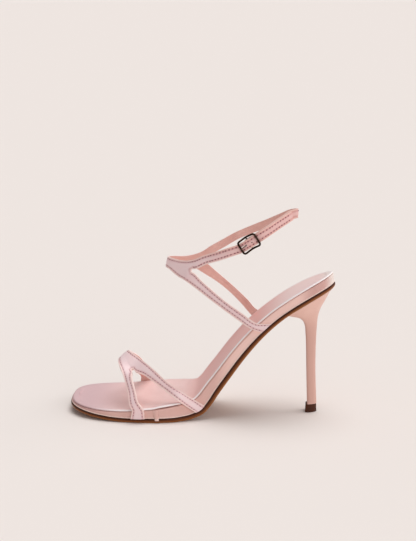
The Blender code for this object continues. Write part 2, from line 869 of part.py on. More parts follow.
def make_buckle():
    half_long = (buckle_length - buckle_wire) / 2
    half_high = (buckle_height - buckle_wire) / 2
    outline = []
    corner_steps = 3
    centres = ((1, 1, 0), (-1, 1, 90), (-1, -1, 180), (1, -1, 270))
    for along, across, start in centres:
        for step in range(corner_steps + 1):
            turn = math.radians(start + 90 * step / corner_steps)
            outline.append((
                along * (half_long - buckle_corner) + buckle_corner * math.cos(turn),
                across * (half_high - buckle_corner) + buckle_corner * math.sin(turn),
            ))
        if start in (0, 180):
            rail = 5
            straight = half_long - buckle_corner
            for step in range(1, rail):
                outline.append((along * straight * (1 - 2 * step / rail), across * half_high))
    points = []
    for along, across in outline:
        on_rail = abs(across) > half_high - gap
        bow = buckle_bow * math.cos(math.pi / 2 * along / half_long) ** 2 if on_rail else 0.0
        points.append(buckle_point(along, across, bow))
    bm = bmesh.new()
    tube(bm, points, [buckle_wire / 2] * len(points), 8, closed=True)
    dark = (0.05, 0.045, 0.04)
    frame = finish("buckle_frame", bm, dark, 0.3, 1.0)
    bm = bmesh.new()
    ends = [buckle_point(0.0, across * half_high, buckle_bow) for across in (-1, 1)]
    tube(bm, ends, [buckle_bar / 2] * 2, 8)
    bar = finish("centre_bar", bm, dark, 0.3, 1.0)
    bar.hide_render = True
    bar.display_type = "WIRE"
    join = frame.modifiers.new("centre_bar", "BOOLEAN")
    join.operation = "UNION"
    join.object = bar

    ring_radius = buckle_bar / 2 + gap + prong_wire / 2
    route = []
    ring_steps = 9
    for step in range(ring_steps + 1):
        turn = math.radians(60 - 240 * step / ring_steps)
        route.append((ring_radius * math.cos(turn), buckle_bow - ring_radius * math.sin(turn)))
    over = -(buckle_wire / 2 + gap + prong_wire / 2)
    route.append((-ring_radius - 0.0006, buckle_bow - 0.0012))
    route.append((-0.0036, 0.0008))
    route.append((-0.0055, -0.0007))
    route.append((-half_long + 0.0004, over))
    route.append((-half_long - prong_reach, over))
    points = [buckle_point(along, 0.0, depth) for along, depth in route]
    radii = [prong_wire / 2] * (len(points) - 1) + [prong_wire * 0.3]
    bm = bmesh.new()
    tube(bm, points, radii, 8)
    finish("buckle_prong", bm, dark, 0.3, 1.0)


def main():
    for piece in list(bpy.data.objects):
        bpy.data.objects.remove(piece)
    make_sole()
    make_heel()
    make_heel_tip()
    make_vamp_strap()
    make_ankle_harness()
    make_buckle()


main()
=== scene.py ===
import math

import bmesh
import bpy
from mathutils import Matrix, Vector


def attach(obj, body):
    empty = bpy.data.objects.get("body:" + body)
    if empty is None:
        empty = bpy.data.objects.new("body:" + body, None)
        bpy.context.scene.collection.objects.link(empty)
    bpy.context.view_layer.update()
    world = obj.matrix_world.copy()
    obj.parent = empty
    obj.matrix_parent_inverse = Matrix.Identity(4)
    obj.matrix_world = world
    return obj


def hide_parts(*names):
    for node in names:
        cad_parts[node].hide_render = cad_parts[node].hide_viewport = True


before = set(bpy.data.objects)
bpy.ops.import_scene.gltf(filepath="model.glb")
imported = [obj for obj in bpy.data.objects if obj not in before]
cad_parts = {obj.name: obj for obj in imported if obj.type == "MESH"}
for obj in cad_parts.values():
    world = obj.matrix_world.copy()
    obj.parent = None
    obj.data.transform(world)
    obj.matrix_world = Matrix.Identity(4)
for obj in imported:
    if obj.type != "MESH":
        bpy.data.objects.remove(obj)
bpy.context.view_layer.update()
gap = 0.0003  # pieces that touch keep this distance
mergeDistance = 0.000002


# Small helpers
def lerp(a, b, share):
    return a + (b - a) * share


def ease(start, end, x):
    share = min(max((x - start) / (end - start), 0.0), 1.0)
    return share * share * (3 - 2 * share)


def hermite(t, length, start, end, startSlope, endSlope):
    # a point of the cubic from start to end, at a share t of its length
    return ((2 * t ** 3 - 3 * t ** 2 + 1) * start + (t ** 3 - 2 * t ** 2 + t) * length * startSlope
            + (3 * t ** 2 - 2 * t ** 3) * end + (t ** 3 - t ** 2) * length * endSlope)


def smoothLine(table):
    # a smooth line through (x, y) rows that never overshoots them
    xs = [row[0] for row in table]
    ys = [row[1] for row in table]
    last = len(xs) - 1
    slopes = [(ys[i + 1] - ys[i]) / (xs[i + 1] - xs[i]) for i in range(last)]
    tangents = [slopes[0]]
    for i in range(1, last):
        product = slopes[i - 1] * slopes[i]
        tangents.append(2 * product / (slopes[i - 1] + slopes[i]) if product > 0 else 0.0)
    tangents.append(slopes[-1])

    def value(x):
        x = min(max(x, xs[0]), xs[-1])
        i = min(sum(x > other for other in xs[1:]), last - 1)
        length = xs[i + 1] - xs[i]
        return hermite((x - xs[i]) / length, length, ys[i], ys[i + 1], tangents[i], tangents[i + 1])

    return value


def toLinear(code):
    # a colour from an sRGB hex code
    parts = [int(code[i:i + 2], 16) / 255 for i in (1, 3, 5)]
    return tuple(p / 12.92 if p <= 0.04045 else ((p + 0.055) / 1.055) ** 2.4 for p in parts) + (1.0,)


# Materials
def addNode(tree, kind, links=None, stops=(), **settings):
    # adds a node; links names an input and what feeds it, a node's output or a value;
    # stops are the places and colours of a colour ramp
    node = tree.nodes.new(kind)
    for key, value in settings.items():
        setattr(node, key, value)
    for key, value in (links or {}).items():
        if isinstance(value, bpy.types.NodeSocket):
            tree.links.new(value, node.inputs[key])
        else:
            node.inputs[key].default_value = value
    if stops:
        elements = node.color_ramp.elements
        while len(elements) < len(stops):
            elements.new(0.5)
        for element, (place, code) in zip(elements, stops):
            element.position = place
            element.color = toLinear(code)
    return node


def newMaterial(name, roughness, metallic=0.0, ior=1.5):
    material = bpy.data.materials.new(name)
    material.use_nodes = True
    shader = material.node_tree.nodes["Principled BSDF"]
    shader.inputs["Roughness"].default_value = roughness
    shader.inputs["Metallic"].default_value = metallic
    shader.inputs["IOR"].default_value = ior
    return material, material.node_tree, shader


satinLook = {
    "ribPitch": 0.0008,   # the real weave is finer, and is drawn this coarse to show
    "ribDepth": 0.0001,
    "ribStrength": 0.3,
    "ribTone": 0.35,   # share of the ribs in the tone, the cloud has the rest
    "cloudScale": 90.0,
    "edgeReach": 0.004,   # the painted highlight and shade of a strap's edge end this far in
    "roughness": 0.45,
    "sheen": 0.12,
    "sheenRoughness": 0.35,
    "sheenTint": "#E9DCEC",
}
waveRepeat = 0.314   # scale of a wave texture with one rib to the metre


def lightAndShadeAlong(tree, colour, along):
    # along lists (axis, start, end, colour) of painted light and shade: slow changes of tone over the
    # shoe, lighter or darker where light falls more or less
    for axis, start, end, code in along:
        spot = addNode(tree, "ShaderNodeTexCoord").outputs["Object"]
        place = addNode(tree, "ShaderNodeSeparateXYZ", {"Vector": spot}).outputs[axis]
        share = addNode(tree, "ShaderNodeMapRange", {"Value": place, "From Min": start, "From Max": end},
                        interpolation_type="SMOOTHSTEP").outputs["Result"]
        colour = addNode(tree, "ShaderNodeMix", {"Factor": share, "A": colour, "B": toLinear(code)},
                         data_type="RGBA").outputs["Result"]
    return colour


def satin(name, light, deep, ribTurn, edgeLightAndShade=None, rim=None, along=(), over=()):
    # woven polyester satin: fine slanting ribs and a soft sheen; the edge stops paint a highlight on
    # folded edges and shade along the stitch grooves, and the rim colour paints a highlight on rounded
    # rims;
    # the painted light and shade of along lie under its edges and rim, those of over lie on top
    look = satinLook
    material, tree, shader = newMaterial(name, look["roughness"])
    source = addNode(tree, "ShaderNodeUVMap", uv_map="bandMap").outputs["UV"]
    turned = addNode(tree, "ShaderNodeMapping", {
        "Vector": source, "Rotation": (0, 0, math.radians(ribTurn))})
    ribs = addNode(tree, "ShaderNodeTexWave", {
        "Vector": turned.outputs["Vector"], "Scale": waveRepeat / look["ribPitch"],
        "Distortion": 0.6, "Detail": 1.0}).outputs["Fac"]
    bump = addNode(tree, "ShaderNodeBump", {
        "Height": ribs, "Strength": look["ribStrength"], "Distance": look["ribDepth"]})
    tree.links.new(bump.outputs["Normal"], shader.inputs["Normal"])
    cloud = addNode(tree, "ShaderNodeTexNoise", {
        "Vector": source, "Scale": look["cloudScale"], "Detail": 2.0}).outputs["Fac"]
    tone = addNode(tree, "ShaderNodeMath", {0: ribs, 1: look["ribTone"]},
                   operation="MULTIPLY").outputs["Value"]
    tone = addNode(tree, "ShaderNodeMath", {0: cloud, 1: 1 - look["ribTone"], 2: tone},
                   operation="MULTIPLY_ADD").outputs["Value"]
    colour = addNode(tree, "ShaderNodeValToRGB", {"Fac": tone},
                     ((0.25, deep), (0.75, light))).outputs["Color"]
    colour = lightAndShadeAlong(tree, colour, along)
    # the edge stops paint a highlight on the folded edge and shade along the stitch groove
    if edgeLightAndShade:
        edge = addNode(tree, "ShaderNodeUVMap", uv_map="edgeMap").outputs["UV"]
        near = addNode(tree, "ShaderNodeSeparateXYZ", {"Vector": edge}).outputs["X"]
        scaled = addNode(tree, "ShaderNodeMath", {0: near, 1: 1 / look["edgeReach"]},
                         operation="MULTIPLY").outputs["Value"]
        shade = addNode(tree, "ShaderNodeValToRGB", {"Fac": scaled}, edgeLightAndShade).outputs["Color"]
        colour = addNode(tree, "ShaderNodeMix", {"Factor": 1.0, "A": colour, "B": shade},
                         data_type="RGBA", blend_type="MULTIPLY").outputs["Result"]
    # rimShare mixes in the rim colour, a painted highlight on rims and beads
    if rim:
        share = addNode(tree, "ShaderNodeAttribute", attribute_name="rimShare").outputs["Fac"]
        colour = addNode(tree, "ShaderNodeMix", {"Factor": share, "A": colour, "B": toLinear(rim)},
                         data_type="RGBA").outputs["Result"]
    colour = lightAndShadeAlong(tree, colour, over)
    tree.links.new(colour, shader.inputs["Base Color"])
    shader.inputs["Sheen Weight"].default_value = look["sheen"]
    shader.inputs["Sheen Roughness"].default_value = look["sheenRoughness"]
    shader.inputs["Sheen Tint"].default_value = toLinear(look["sheenTint"])
    return material


# painted highlight on the folded edge and painted shade along the stitch groove; place of each stop:
# distance from the edge in shares of the edge's reach
strapEdgeLightAndShade = ((0.0, "#FFFAF4"), (0.12, "#FBF0EA"), (0.28, "#EFD9D8"), (0.4, "#E6C6C8"), (0.52, "#F1DEE0"),
             (0.75, "#FCF4F6"))
# along paints shade on the upper parts of the ankle straps, from 120 mm to 138 mm high
strapSatin = satin("strapSatin", "#FFF0EF", "#FCE0E0", 52, edgeLightAndShade=strapEdgeLightAndShade,
                   along=(("Z", 0.120, 0.138, "#F0C9C2"),))
# wall: the rim colour is a painted highlight on the bead; along paints shade at the toe and seat, light
# at the waist, and a painted reflection of the rim light on the back end
wallSatin = satin("wallSatin", "#E9BEB4", "#E0B0A6", 74, rim="#FADDD2",
                  along=(("X", -0.022, -0.060, "#CE9F9B"), ("X", 0.045, 0.065, "#FCD2C7"),
                         ("X", 0.112, 0.127, "#D6A79E"), ("X", 0.133, 0.142, "#EDE0D8")))
# along paints shade down the shaft, darker from 88 mm to 60 mm high
heelSatin = satin("heelSatin", "#EFC6B8", "#E6B8AA", 80, along=(("Z", 0.088, 0.060, "#D9AA9C"),))
# sock: the rim colour is a painted highlight along the rounded edge; along paints shade at the bend,
# light over the seat and a paler back end, and over paints shade at the toe
sockSatin = satin("sockSatin", "#FCDAD5", "#F3CDC8", 38, rim="#FFF6F6",
                  along=(("X", 0.022, 0.045, "#F0B8B0"), ("X", 0.080, 0.112, "#FFE0DB"),
                         ("X", 0.128, 0.141, "#FFF4EC")),
                  over=(("X", -0.010, -0.050, "#DAB7B9"),))


def softLeather(name, light, deep, roughness, grain):
    # thin goat lining leather: tiny closed grain, matte
    material, tree, shader = newMaterial(name, roughness)
    place = addNode(tree, "ShaderNodeTexCoord").outputs["Object"]
    cells = addNode(tree, "ShaderNodeTexVoronoi", {"Vector": place, "Scale": 1 / grain})
    # the hide's cloudy patches are about 11 mm across
    cloud = addNode(tree, "ShaderNodeTexNoise", {"Vector": place, "Scale": 90.0, "Detail": 3.0})
    bump = addNode(tree, "ShaderNodeBump", {
        "Height": cells.outputs["Distance"], "Strength": 0.2, "Distance": 0.00012})
    tree.links.new(bump.outputs["Normal"], shader.inputs["Normal"])
    colour = addNode(tree, "ShaderNodeValToRGB", {"Fac": cloud.outputs["Fac"]},
                     ((0.3, deep), (0.7, light))).outputs["Color"]
    tree.links.new(colour, shader.inputs["Base Color"])
    return material


liningLeather = softLeather("liningLeather", "#F2C2B7", "#E6B1A6", 0.6, 0.0011)


def soleEdgeMaterial():
    # cut leather edge: dark brown above, darkest at its top edge where painted shade stands for the gap
    # under the wall; orange-brown on the lower bevel
    material, tree, shader = newMaterial("soleLeatherEdge", 0.5, ior=1.3)
    rise = addNode(tree, "ShaderNodeAttribute", attribute_name="rimShare")
    colour = addNode(tree, "ShaderNodeValToRGB", {"Fac": rise.outputs["Fac"]}, (
        (0.0, "#A76B3C"), (0.25, "#90562C"), (0.5, "#6A3817"), (0.8, "#57260B"),
        (1.0, "#3F1704"))).outputs["Color"]
    place = addNode(tree, "ShaderNodeTexCoord").outputs["Object"]
    # the cut edge's fibres lie in bundles about 3.3 mm long
    cloud = addNode(tree, "ShaderNodeTexNoise", {"Vector": place, "Scale": 300.0, "Detail": 3.0})
    bump = addNode(tree, "ShaderNodeBump", {
        "Height": cloud.outputs["Fac"], "Strength": 0.2, "Distance": 0.0002})
    tree.links.new(bump.outputs["Normal"], shader.inputs["Normal"])
    tree.links.new(colour, shader.inputs["Base Color"])
    return material


def noiseMaterial(name, light, deep, roughness, scale, relief=0.0, **kind):
    # scale is in patches to the metre, so 120 are 8 mm across, 400 are 2.5 mm and 900 are 1.1 mm
    # one colour, faintly mottled; relief is the depth of its fine grain in metres
    material, tree, shader = newMaterial(name, roughness, **kind)
    place = addNode(tree, "ShaderNodeTexCoord").outputs["Object"]
    cloud = addNode(tree, "ShaderNodeTexNoise", {
        "Vector": place, "Scale": scale, "Detail": 4.0}).outputs["Fac"]
    colour = addNode(tree, "ShaderNodeValToRGB", {"Fac": cloud},
                     ((0.3, deep), (0.7, light))).outputs["Color"]
    tree.links.new(colour, shader.inputs["Base Color"])
    if relief:
        bump = addNode(tree, "ShaderNodeBump", {"Height": cloud, "Strength": 0.3, "Distance": relief})
        tree.links.new(bump.outputs["Normal"], shader.inputs["Normal"])
    return material


soleEdge = soleEdgeMaterial()
# tanned sole leather, sanded and waxed: even brown with a low grain
soleTread = noiseMaterial("soleLeatherTread", "#A5683A", "#8A5228", 0.5, 120.0, 0.0002)
# plated zinc casting: near black, with sharp highlights
buckleMetal = noiseMaterial("buckleBronze", "#3E2C22", "#241811", 0.3, 400.0, metallic=1.0)
# polished drawn wire: lighter than the frame
prongMetal = noiseMaterial("prongBronze", "#8A6A5C", "#6E5348", 0.25, 400.0, metallic=1.0)
# moulded polyurethane: dark brown and matt
tipRubber = noiseMaterial("tipPolyurethane", "#542A18", "#40200F", 0.55, 250.0, ior=1.3)
# twisted filament thread: dusky dashes beside the strap's edges
threadMaterial = noiseMaterial("polyesterThread", "#9C5862", "#84434E", 0.6, 900.0)
print("materials ready")


# Meshes
def drapeGrid(bm, rows, layer, clothPlace):
    # a grid laid over rows of points; clothPlace gives each (row, column) its place on the cloth
    down = len(rows) - 1
    across = len(rows[0]) - 1
    made = bmesh.ops.create_grid(bm, x_segments=across, y_segments=down, size=1.0)["verts"]
    places = {}
    for vert in made:
        i = round((vert.co.y + 1) / 2 * down)
        j = round((vert.co.x + 1) / 2 * across)
        places[vert] = (i, j)
        vert.co = rows[i][j]
    for face in {face for vert in made for face in vert.link_faces}:
        for loop in face.loops:
            loop[layer].uv = clothPlace(*places[loop.vert])
    return places


def addPiece(name, bm, materials):
    mesh = bpy.data.meshes.new(name)
    bm.to_mesh(mesh)
    bm.free()
    for material in materials:
        mesh.materials.append(material)
    mesh.shade_smooth()
    piece = bpy.data.objects.new(name, mesh)
    bpy.context.collection.objects.link(piece)
    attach(piece, "root")
    return piece


def finishPiece(name, bm, materials, smoothAngle=40):
    bmesh.ops.remove_doubles(bm, verts=bm.verts, dist=mergeDistance)
    bmesh.ops.recalc_face_normals(bm, faces=bm.faces)
    piece = addPiece(name, bm, materials)
    piece.data.set_sharp_from_angle(angle=math.radians(smoothAngle))
    return piece


def thicken(piece, thickness):
    skin = piece.modifiers.new("thickness", "SOLIDIFY")
    skin.thickness = thickness
    skin.offset = 0.0
    return skin


def measure(points):
    # running length along a line of points
    runs = [0.0]
    for a, b in zip(points, points[1:]):
        runs.append(runs[-1] + (b - a).length)
    return runs


def loftRings(name, rings, materials, shares=None, kinds=None, caps=False, closed=False, grids=(),
              smoothAngle=40):
    # a closed skin through rings of points; shares gives each ring its rimShare, kinds its material,
    # grids are sheets of points that close the skin, each with its material
    bm = bmesh.new()
    rim = bm.verts.layers.float.new("rimShare")
    cloth = bm.loops.layers.uv.new("bandMap")
    rows = [ring + ring[:1] for ring in rings]
    if closed:
        rows.append(rows[0])
    around = [measure(row) for row in rows]
    up = measure([row[len(row) // 3] for row in rows])
    places = drapeGrid(bm, rows, cloth, lambda i, j: (around[i][j], up[i]))
    for vert, (i, j) in places.items():
        vert[rim] = shares[i % len(shares)] if shares else 0.0
    if kinds:
        for face in bm.faces:
            lowest = min(places[vert][0] for vert in face.verts)
            face.material_index = kinds[lowest]
    for sheet, kind in grids:
        known = set(bm.faces)
        drapeGrid(bm, sheet, cloth, lambda i, j, sheet=sheet: (sheet[i][j].x * 1.1, sheet[i][j].y))
        for face in bm.faces:
            if face not in known:
                face.material_index = kind
    bmesh.ops.remove_doubles(bm, verts=bm.verts, dist=mergeDistance)
    if caps:
        bmesh.ops.holes_fill(bm, edges=[edge for edge in bm.edges if edge.is_boundary], sides=0)
    return finishPiece(name, bm, materials, smoothAngle)


# The sole: layers are drawn flat, then bent up along the arch
sole = {
    "toeReach": 0.0628,
    "backReach": 0.1424,
    "ballWidth": 0.0770,
    "waistWidth": 0.0470,
    "seatWidth": 0.0420,
    "ballEndX": 0.0050,
    "waistX": 0.0620,
    "seatX": 0.1080,
    "seatRound": 0.0360,
    "toeRoundness": 2.75,
    "seatRoundness": 1.85,
    "toeSwing": 0.0020,
    "waistSwing": 0.0012,
    "heelRise": 0.1010,
    "toeSpring": 0.0053,
    "springPower": 1.7,
    "treadFront": 0.0120,
    "treadBack": 0.0215,
    "archRoll": 0.0015,
    "backUpright": 0.75,
    "bendX": 0.0350,
    "leanWindow": 0.0070,   # half of the length over which the layers take up a bend
    "endMargin": 0.0010,
    "rollFrontX": -0.0580,
    "rollBackX": 0.1390,
    "rollLeastHalf": 0.0080,
    "sockThickness": 0.0012,
}

arch = smoothLine([
    (0.000, 0.000), (0.080, 0.010), (0.130, 0.027), (0.175, 0.052), (0.215, 0.104), (0.270, 0.206),
    (0.340, 0.328), (0.420, 0.462), (0.500, 0.579), (0.600, 0.700), (0.720, 0.815), (0.860, 0.916),
    (1.000, 1.000),
])


def layerLine(toe, ball, bend, waist, seat, back):
    return smoothLine([(-sole["toeReach"], toe), (0.0, ball), (sole["bendX"], bend),
                       (sole["waistX"], waist), (sole["seatX"], seat), (sole["backReach"], back)])


outsoleHeight = layerLine(0.0022, 0.0031, 0.0035, 0.0037, 0.0029, 0.0029)
wallHeight = layerLine(0.0013, 0.0063, 0.0094, 0.0066, 0.0060, 0.0072)


def wallLow(x):
    return outsoleHeight(x) + gap


def wallHigh(x):
    return wallLow(x) + wallHeight(x)


def sockHigh(x):
    return wallHigh(x) + gap + sole["sockThickness"]


def underside(x):
    if x < -sole["treadFront"]:
        share = (-sole["treadFront"] - x) / (sole["toeReach"] - sole["treadFront"])
        return sole["toeSpring"] * share ** sole["springPower"]
    if x < sole["treadBack"]:
        return 0.0
    return sole["heelRise"] * arch((x - sole["treadBack"]) / (sole["backReach"] - sole["treadBack"]))


def slopeAngle(x):
    step = 0.0005
    return math.atan2(underside(x + step) - underside(x - step), 2 * step)


def lean(x):
    upright = sole["backUpright"] * ease(sole["seatX"], sole["backReach"], x)
    last = sole["backReach"] - sole["endMargin"]
    window = [min(x + step * sole["leanWindow"], last) for step in (-2, -1, 0, 1, 2)]
    return sum(slopeAngle(place) for place in window) / len(window) * (1 - upright)


def roundEnd(share, roundness):
    share = min(max(share, 0.0), 1.0)
    return (1 - share ** roundness) ** (1 / roundness)


def halfWidth(x, inset):
    forefoot = lerp(sole["ballWidth"], sole["waistWidth"], ease(sole["ballEndX"], sole["waistX"], x))
    whole = lerp(forefoot, sole["seatWidth"], ease(sole["waistX"], sole["seatX"], x))
    toe = roundEnd(-x / (sole["toeReach"] - inset), sole["toeRoundness"])
    seatStart = sole["backReach"] - inset - sole["seatRound"]
    seat = roundEnd((x - seatStart) / sole["seatRound"], sole["seatRoundness"])
    return (whole / 2 - inset) * toe * seat


def hill(start, x):
    # rises from the start to the waist and falls again to the seat
    return ease(start, sole["waistX"], x) * (1 - ease(sole["waistX"], sole["seatX"], x))


def middle(x):
    toe = sole["toeSwing"] * min(max(-x / sole["toeReach"], 0.0), 1.0) ** 2
    return toe - sole["waistSwing"] * hill(sole["ballEndX"], x)


def roll(x):
    return sole["archRoll"] * hill(sole["treadBack"], x)


def bend(x, y, height):
    # carries a point of a flat layer to its place on the bent sole
    angle = lean(x)
    half = halfWidth(min(max(x, sole["rollFrontX"]), sole["rollBackX"]), 0.0)
    side = (y - middle(x)) / max(half, sole["rollLeastHalf"])
    up = height + roll(x) * min(max(side, -1.0), 1.0) / 2
    return Vector((x - math.sin(angle) * up, y, underside(x) + math.cos(angle) * up))


acrossSteps = 14


def solePlan(inset):
    # rows of (x, y) across the sole, from the outer side to the inner side, toe first
    toeSteps, runSteps, seatSteps = 26, 64, 22
    stations = []
    for step in range(toeSteps):
        angle = math.radians(0.7 + 89.3 * (step / toeSteps) ** 1.25)
        stations.append(-(sole["toeReach"] - inset) * math.cos(angle) ** (2 / sole["toeRoundness"]))
    seatStart = sole["backReach"] - inset - sole["seatRound"]
    stations += [seatStart * step / runSteps for step in range(runSteps)]
    for step in range(seatSteps + 1):
        angle = math.radians(90 - 89 * (step / seatSteps) ** 0.8)
        stations.append(seatStart + sole["seatRound"] * math.cos(angle) ** (2 / sole["seatRoundness"]))
    plan = []
    for x in stations:
        half = halfWidth(x, inset)
        plan.append([(x, middle(x) + half * (2 * j / acrossSteps - 1)) for j in range(acrossSteps + 1)])
    return plan


def soleSheet(inset, height, crown=0.0, lift=None):
    # one face of a layer; crown lowers its middle, lift raises its outer edge
    sheet = []
    for row in solePlan(inset):
        line = []
        for j, (x, y) in enumerate(row):
            side = abs(2 * j / acrossSteps - 1)
            up = height(x) - crown * (1 - side ** 4)
            if lift and 2 * j < acrossSteps:
                up += lift(x) * side ** 6
            line.append(bend(x, y, up))
        sheet.append(line)
    return sheet


def soleRing(inset, height, lift=None):
    # the border of a layer at one height
    sheet = soleSheet(inset, height, lift=lift)
    outer = [row[0] for row in sheet]
    inner = [row[-1] for row in reversed(sheet)]
    return outer + sheet[-1][1:-1] + inner + list(reversed(sheet[0][1:-1]))


def raised(line, lift):
    return lambda x: line(x) + lift


def makeSoleLayer(name, profile, materials, node, low, high, crown=0.0, lift=None):
    # profile rows run from the lower face to the upper one: inset, height, rimShare, material
    rings = [soleRing(row[0], row[1], lift) for row in profile]
    sheets = [(soleSheet(profile[0][0], low, lift=lift), profile[0][3]),
              (soleSheet(profile[-1][0], high, crown, lift), profile[-1][3])]
    piece = loftRings(name, rings, materials, shares=[row[2] for row in profile],
                      kinds=[row[3] for row in profile], grids=sheets)
    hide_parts(node)


outsole = {"bevel": 0.0012}
wall = {"inset": 0.0005, "bead": 0.0006}
sock = {
    "inset": 0.0009,
    "crown": 0.0006,
    "edgeRise": 0.0007,   # behind the joint of the covering, rising and falling over these lengths
    "riseX": (0.004, 0.011),
    "fallX": (0.020, 0.030),
}


def makeOutsole():
    bevel = outsole["bevel"]

    def flat(x):
        return 0.0

    profile = [
        (bevel * 1.8, flat, 0.0, 1),
        (bevel * 0.9, flat, 0.0, 0),
        (bevel * 0.45, raised(flat, bevel * 0.15), 0.05, 0),
        (bevel * 0.15, raised(flat, bevel * 0.5), 0.15, 0),
        (0.0, raised(flat, bevel), 0.3, 0),
        (0.0, lambda x: outsoleHeight(x) * 0.55, 0.5, 0),
        (0.0, lambda x: outsoleHeight(x) * 0.8, 0.8, 0),
        (0.0, raised(outsoleHeight, -0.0003), 1.0, 0),
        (0.0001, raised(outsoleHeight, -0.0001), 1.0, 0),
        (0.0005, outsoleHeight, 1.0, 0),
        (0.0030, outsoleHeight, 1.0, 0),
    ]
    makeSoleLayer("outsole_leather", profile, [soleEdge, soleTread], "outsole", flat, outsoleHeight)


def makeWall():
    # its lower edge is a bead, its upper edge is rounded; rimShare paints a highlight on the bead
    inset, bead = wall["inset"], wall["bead"]
    profile = [
        (inset + 0.0015, wallLow, 0.2, 0),
        (inset + 0.0002, wallLow, 0.6, 0),
        (inset - 0.0002, raised(wallLow, bead * 0.3), 0.9, 0),
        (inset - 0.0003, raised(wallLow, bead * 0.8), 1.0, 0),
        (inset - 0.0001, raised(wallLow, bead * 1.3), 0.6, 0),
        (inset + 0.0001, raised(wallLow, bead * 1.9), 0.0, 0),
        (inset + 0.00005, lambda x: lerp(wallLow(x), wallHigh(x), 0.5), 0.0, 0),
        (inset, lambda x: lerp(wallLow(x), wallHigh(x), 0.75), 0.0, 0),
        (inset + 0.0001, raised(wallHigh, -0.0008), 0.0, 0),
        (inset + 0.0003, raised(wallHigh, -0.0003), 0.0, 0),
        (inset + 0.0007, raised(wallHigh, -0.00005), 0.0, 0),
        (inset + 0.0012, wallHigh, 0.0, 0),
        (inset + 0.0040, wallHigh, 0.0, 0),
    ]
    makeSoleLayer("insole_wall", profile, [wallSatin], "insole_board", wallLow, wallHigh)


def makeSock():
    inset, thick = sock["inset"], sole["sockThickness"]
    low = raised(wallHigh, gap)
    # rimShare paints a highlight along the rounded edge
    profile = [
        (inset + 0.0012, low, 0.0, 0),
        (inset + 0.0003, low, 0.2, 0),
        (inset, raised(low, thick * 0.25), 0.6, 0),
        (inset + 0.0001, raised(low, thick * 0.6), 1.0, 0),
        (inset + 0.0004, raised(low, thick * 0.88), 1.0, 0),
        (inset + 0.0009, raised(low, thick), 0.8, 0),
        (inset + 0.0016, raised(low, thick * 1.02), 0.3, 0),
        (inset + 0.0026, raised(low, thick), 0.0, 0),
        (inset + 0.0045, raised(low, thick * 0.95), 0.0, 0),
    ]
    def lift(x):
        # the edge stands a little proud behind the joint of the covering
        return sock["edgeRise"] * ease(*sock["riseX"], x) * (1 - ease(*sock["fallX"], x))

    makeSoleLayer("insole_sock_lining", profile, [sockSatin], "insole_sock", low,
                  raised(low, thick * 0.95), crown=sock["crown"], lift=lift)


coverJoint = {
    "frontX": 0.0052,
    "backX": 0.0084,
    "slant": 0.0012,     # its foot is this much nearer to the heel than its head
    "tuck": 0.0004,      # its head starts this far under the sock
    "lap": 0.0011,
    "turnOut": 0.0006,   # its foot stands out over the outsole's edge
    "thickness": 0.0005,
}


def makeCoverJoint():
    # the narrow overlap where the ends of the wall's covering meet on the outer side
    rows = []
    for step in range(9):
        share = step / 8
        row = []
        for column in range(5):
            x = lerp(coverJoint["frontX"], coverJoint["backX"], column / 4) + coverJoint["slant"] * share
            height = lerp(wallHigh(x) - coverJoint["tuck"], outsoleHeight(x) - coverJoint["lap"], share)
            out = lerp(0.00005, 0.00025, math.sin(math.pi * column / 4)) - wall["inset"]
            out += coverJoint["turnOut"] * ease(0.75, 0.95, share) + coverJoint["thickness"] / 2
            row.append(bend(x, middle(x) - halfWidth(x, 0.0) - out, height))
        rows.append(row)
    bm = bmesh.new()
    rim = bm.verts.layers.float.new("rimShare")
    cloth = bm.loops.layers.uv.new("bandMap")
    places = drapeGrid(bm, rows, cloth, lambda i, j: (rows[i][j].x, rows[i][j].z))
    for vert, (i, j) in places.items():
        # rimShare paints a highlight along its front edge and its foot
        vert[rim] = 0.7 if j == 0 or i > 6 else 0.0
    piece = finishPiece("wall_cover_joint", bm, [wallSatin])
    thicken(piece, coverJoint["thickness"])


makeOutsole()
makeWall()
makeSock()
makeCoverJoint()
print("sole built")


# The heel
heel = {
    "seatFrontX": 0.1058,
    "seatInset": 0.0012,
    "seatHalf": 0.0185,
    "shaftX": 0.1249,
    "shaftLength": 0.0078,
    "shaftHalf": 0.0044,
    "shaftBackTrim": 0.0006,
    "tipHeight": 0.0062,
    "tipLength": 0.0088,
    "tipHalf": 0.0049,
}
heelPlan = smoothLine([(0.00, 0.80), (0.04, 0.93), (0.14, 1.00), (0.32, 0.97), (0.52, 0.86),
                       (0.72, 0.68), (0.88, 0.45), (0.97, 0.22), (1.00, 0.08)])
heelSections = [  # front_down, back_down, front_in, back_in, shrink
    (0.020, 0.040, 0.30, 0.22, 0.18),
    (0.042, 0.112, 0.60, 0.48, 0.42),
    (0.078, 0.180, 0.79, 0.74, 0.64),
    (0.130, 0.240, 0.89, 0.88, 0.80),
    (0.230, 0.340, 0.94, 0.96, 0.91),
    (0.360, 0.480, 0.97, 1.00, 0.97),
    (0.600, 0.680, 1.00, 1.01, 1.00),
    (1.000, 1.000, 1.06, 0.92, 1.00),
]
planSteps = [0.0, 0.004, 0.012, 0.03, 0.06, 0.1, 0.16, 0.24, 0.32, 0.42, 0.52, 0.62, 0.72, 0.80,
             0.86, 0.91, 0.95, 0.975, 0.99, 1.0]


def dRing(front, back, half):
    # a D-shaped ring, flat at the front, round at the back
    left = [front.lerp(back, a) - Vector((0, half * heelPlan(a), 0)) for a in planSteps]
    right = [front.lerp(back, a) + Vector((0, half * heelPlan(a), 0)) for a in planSteps]
    return left + list(reversed(right))


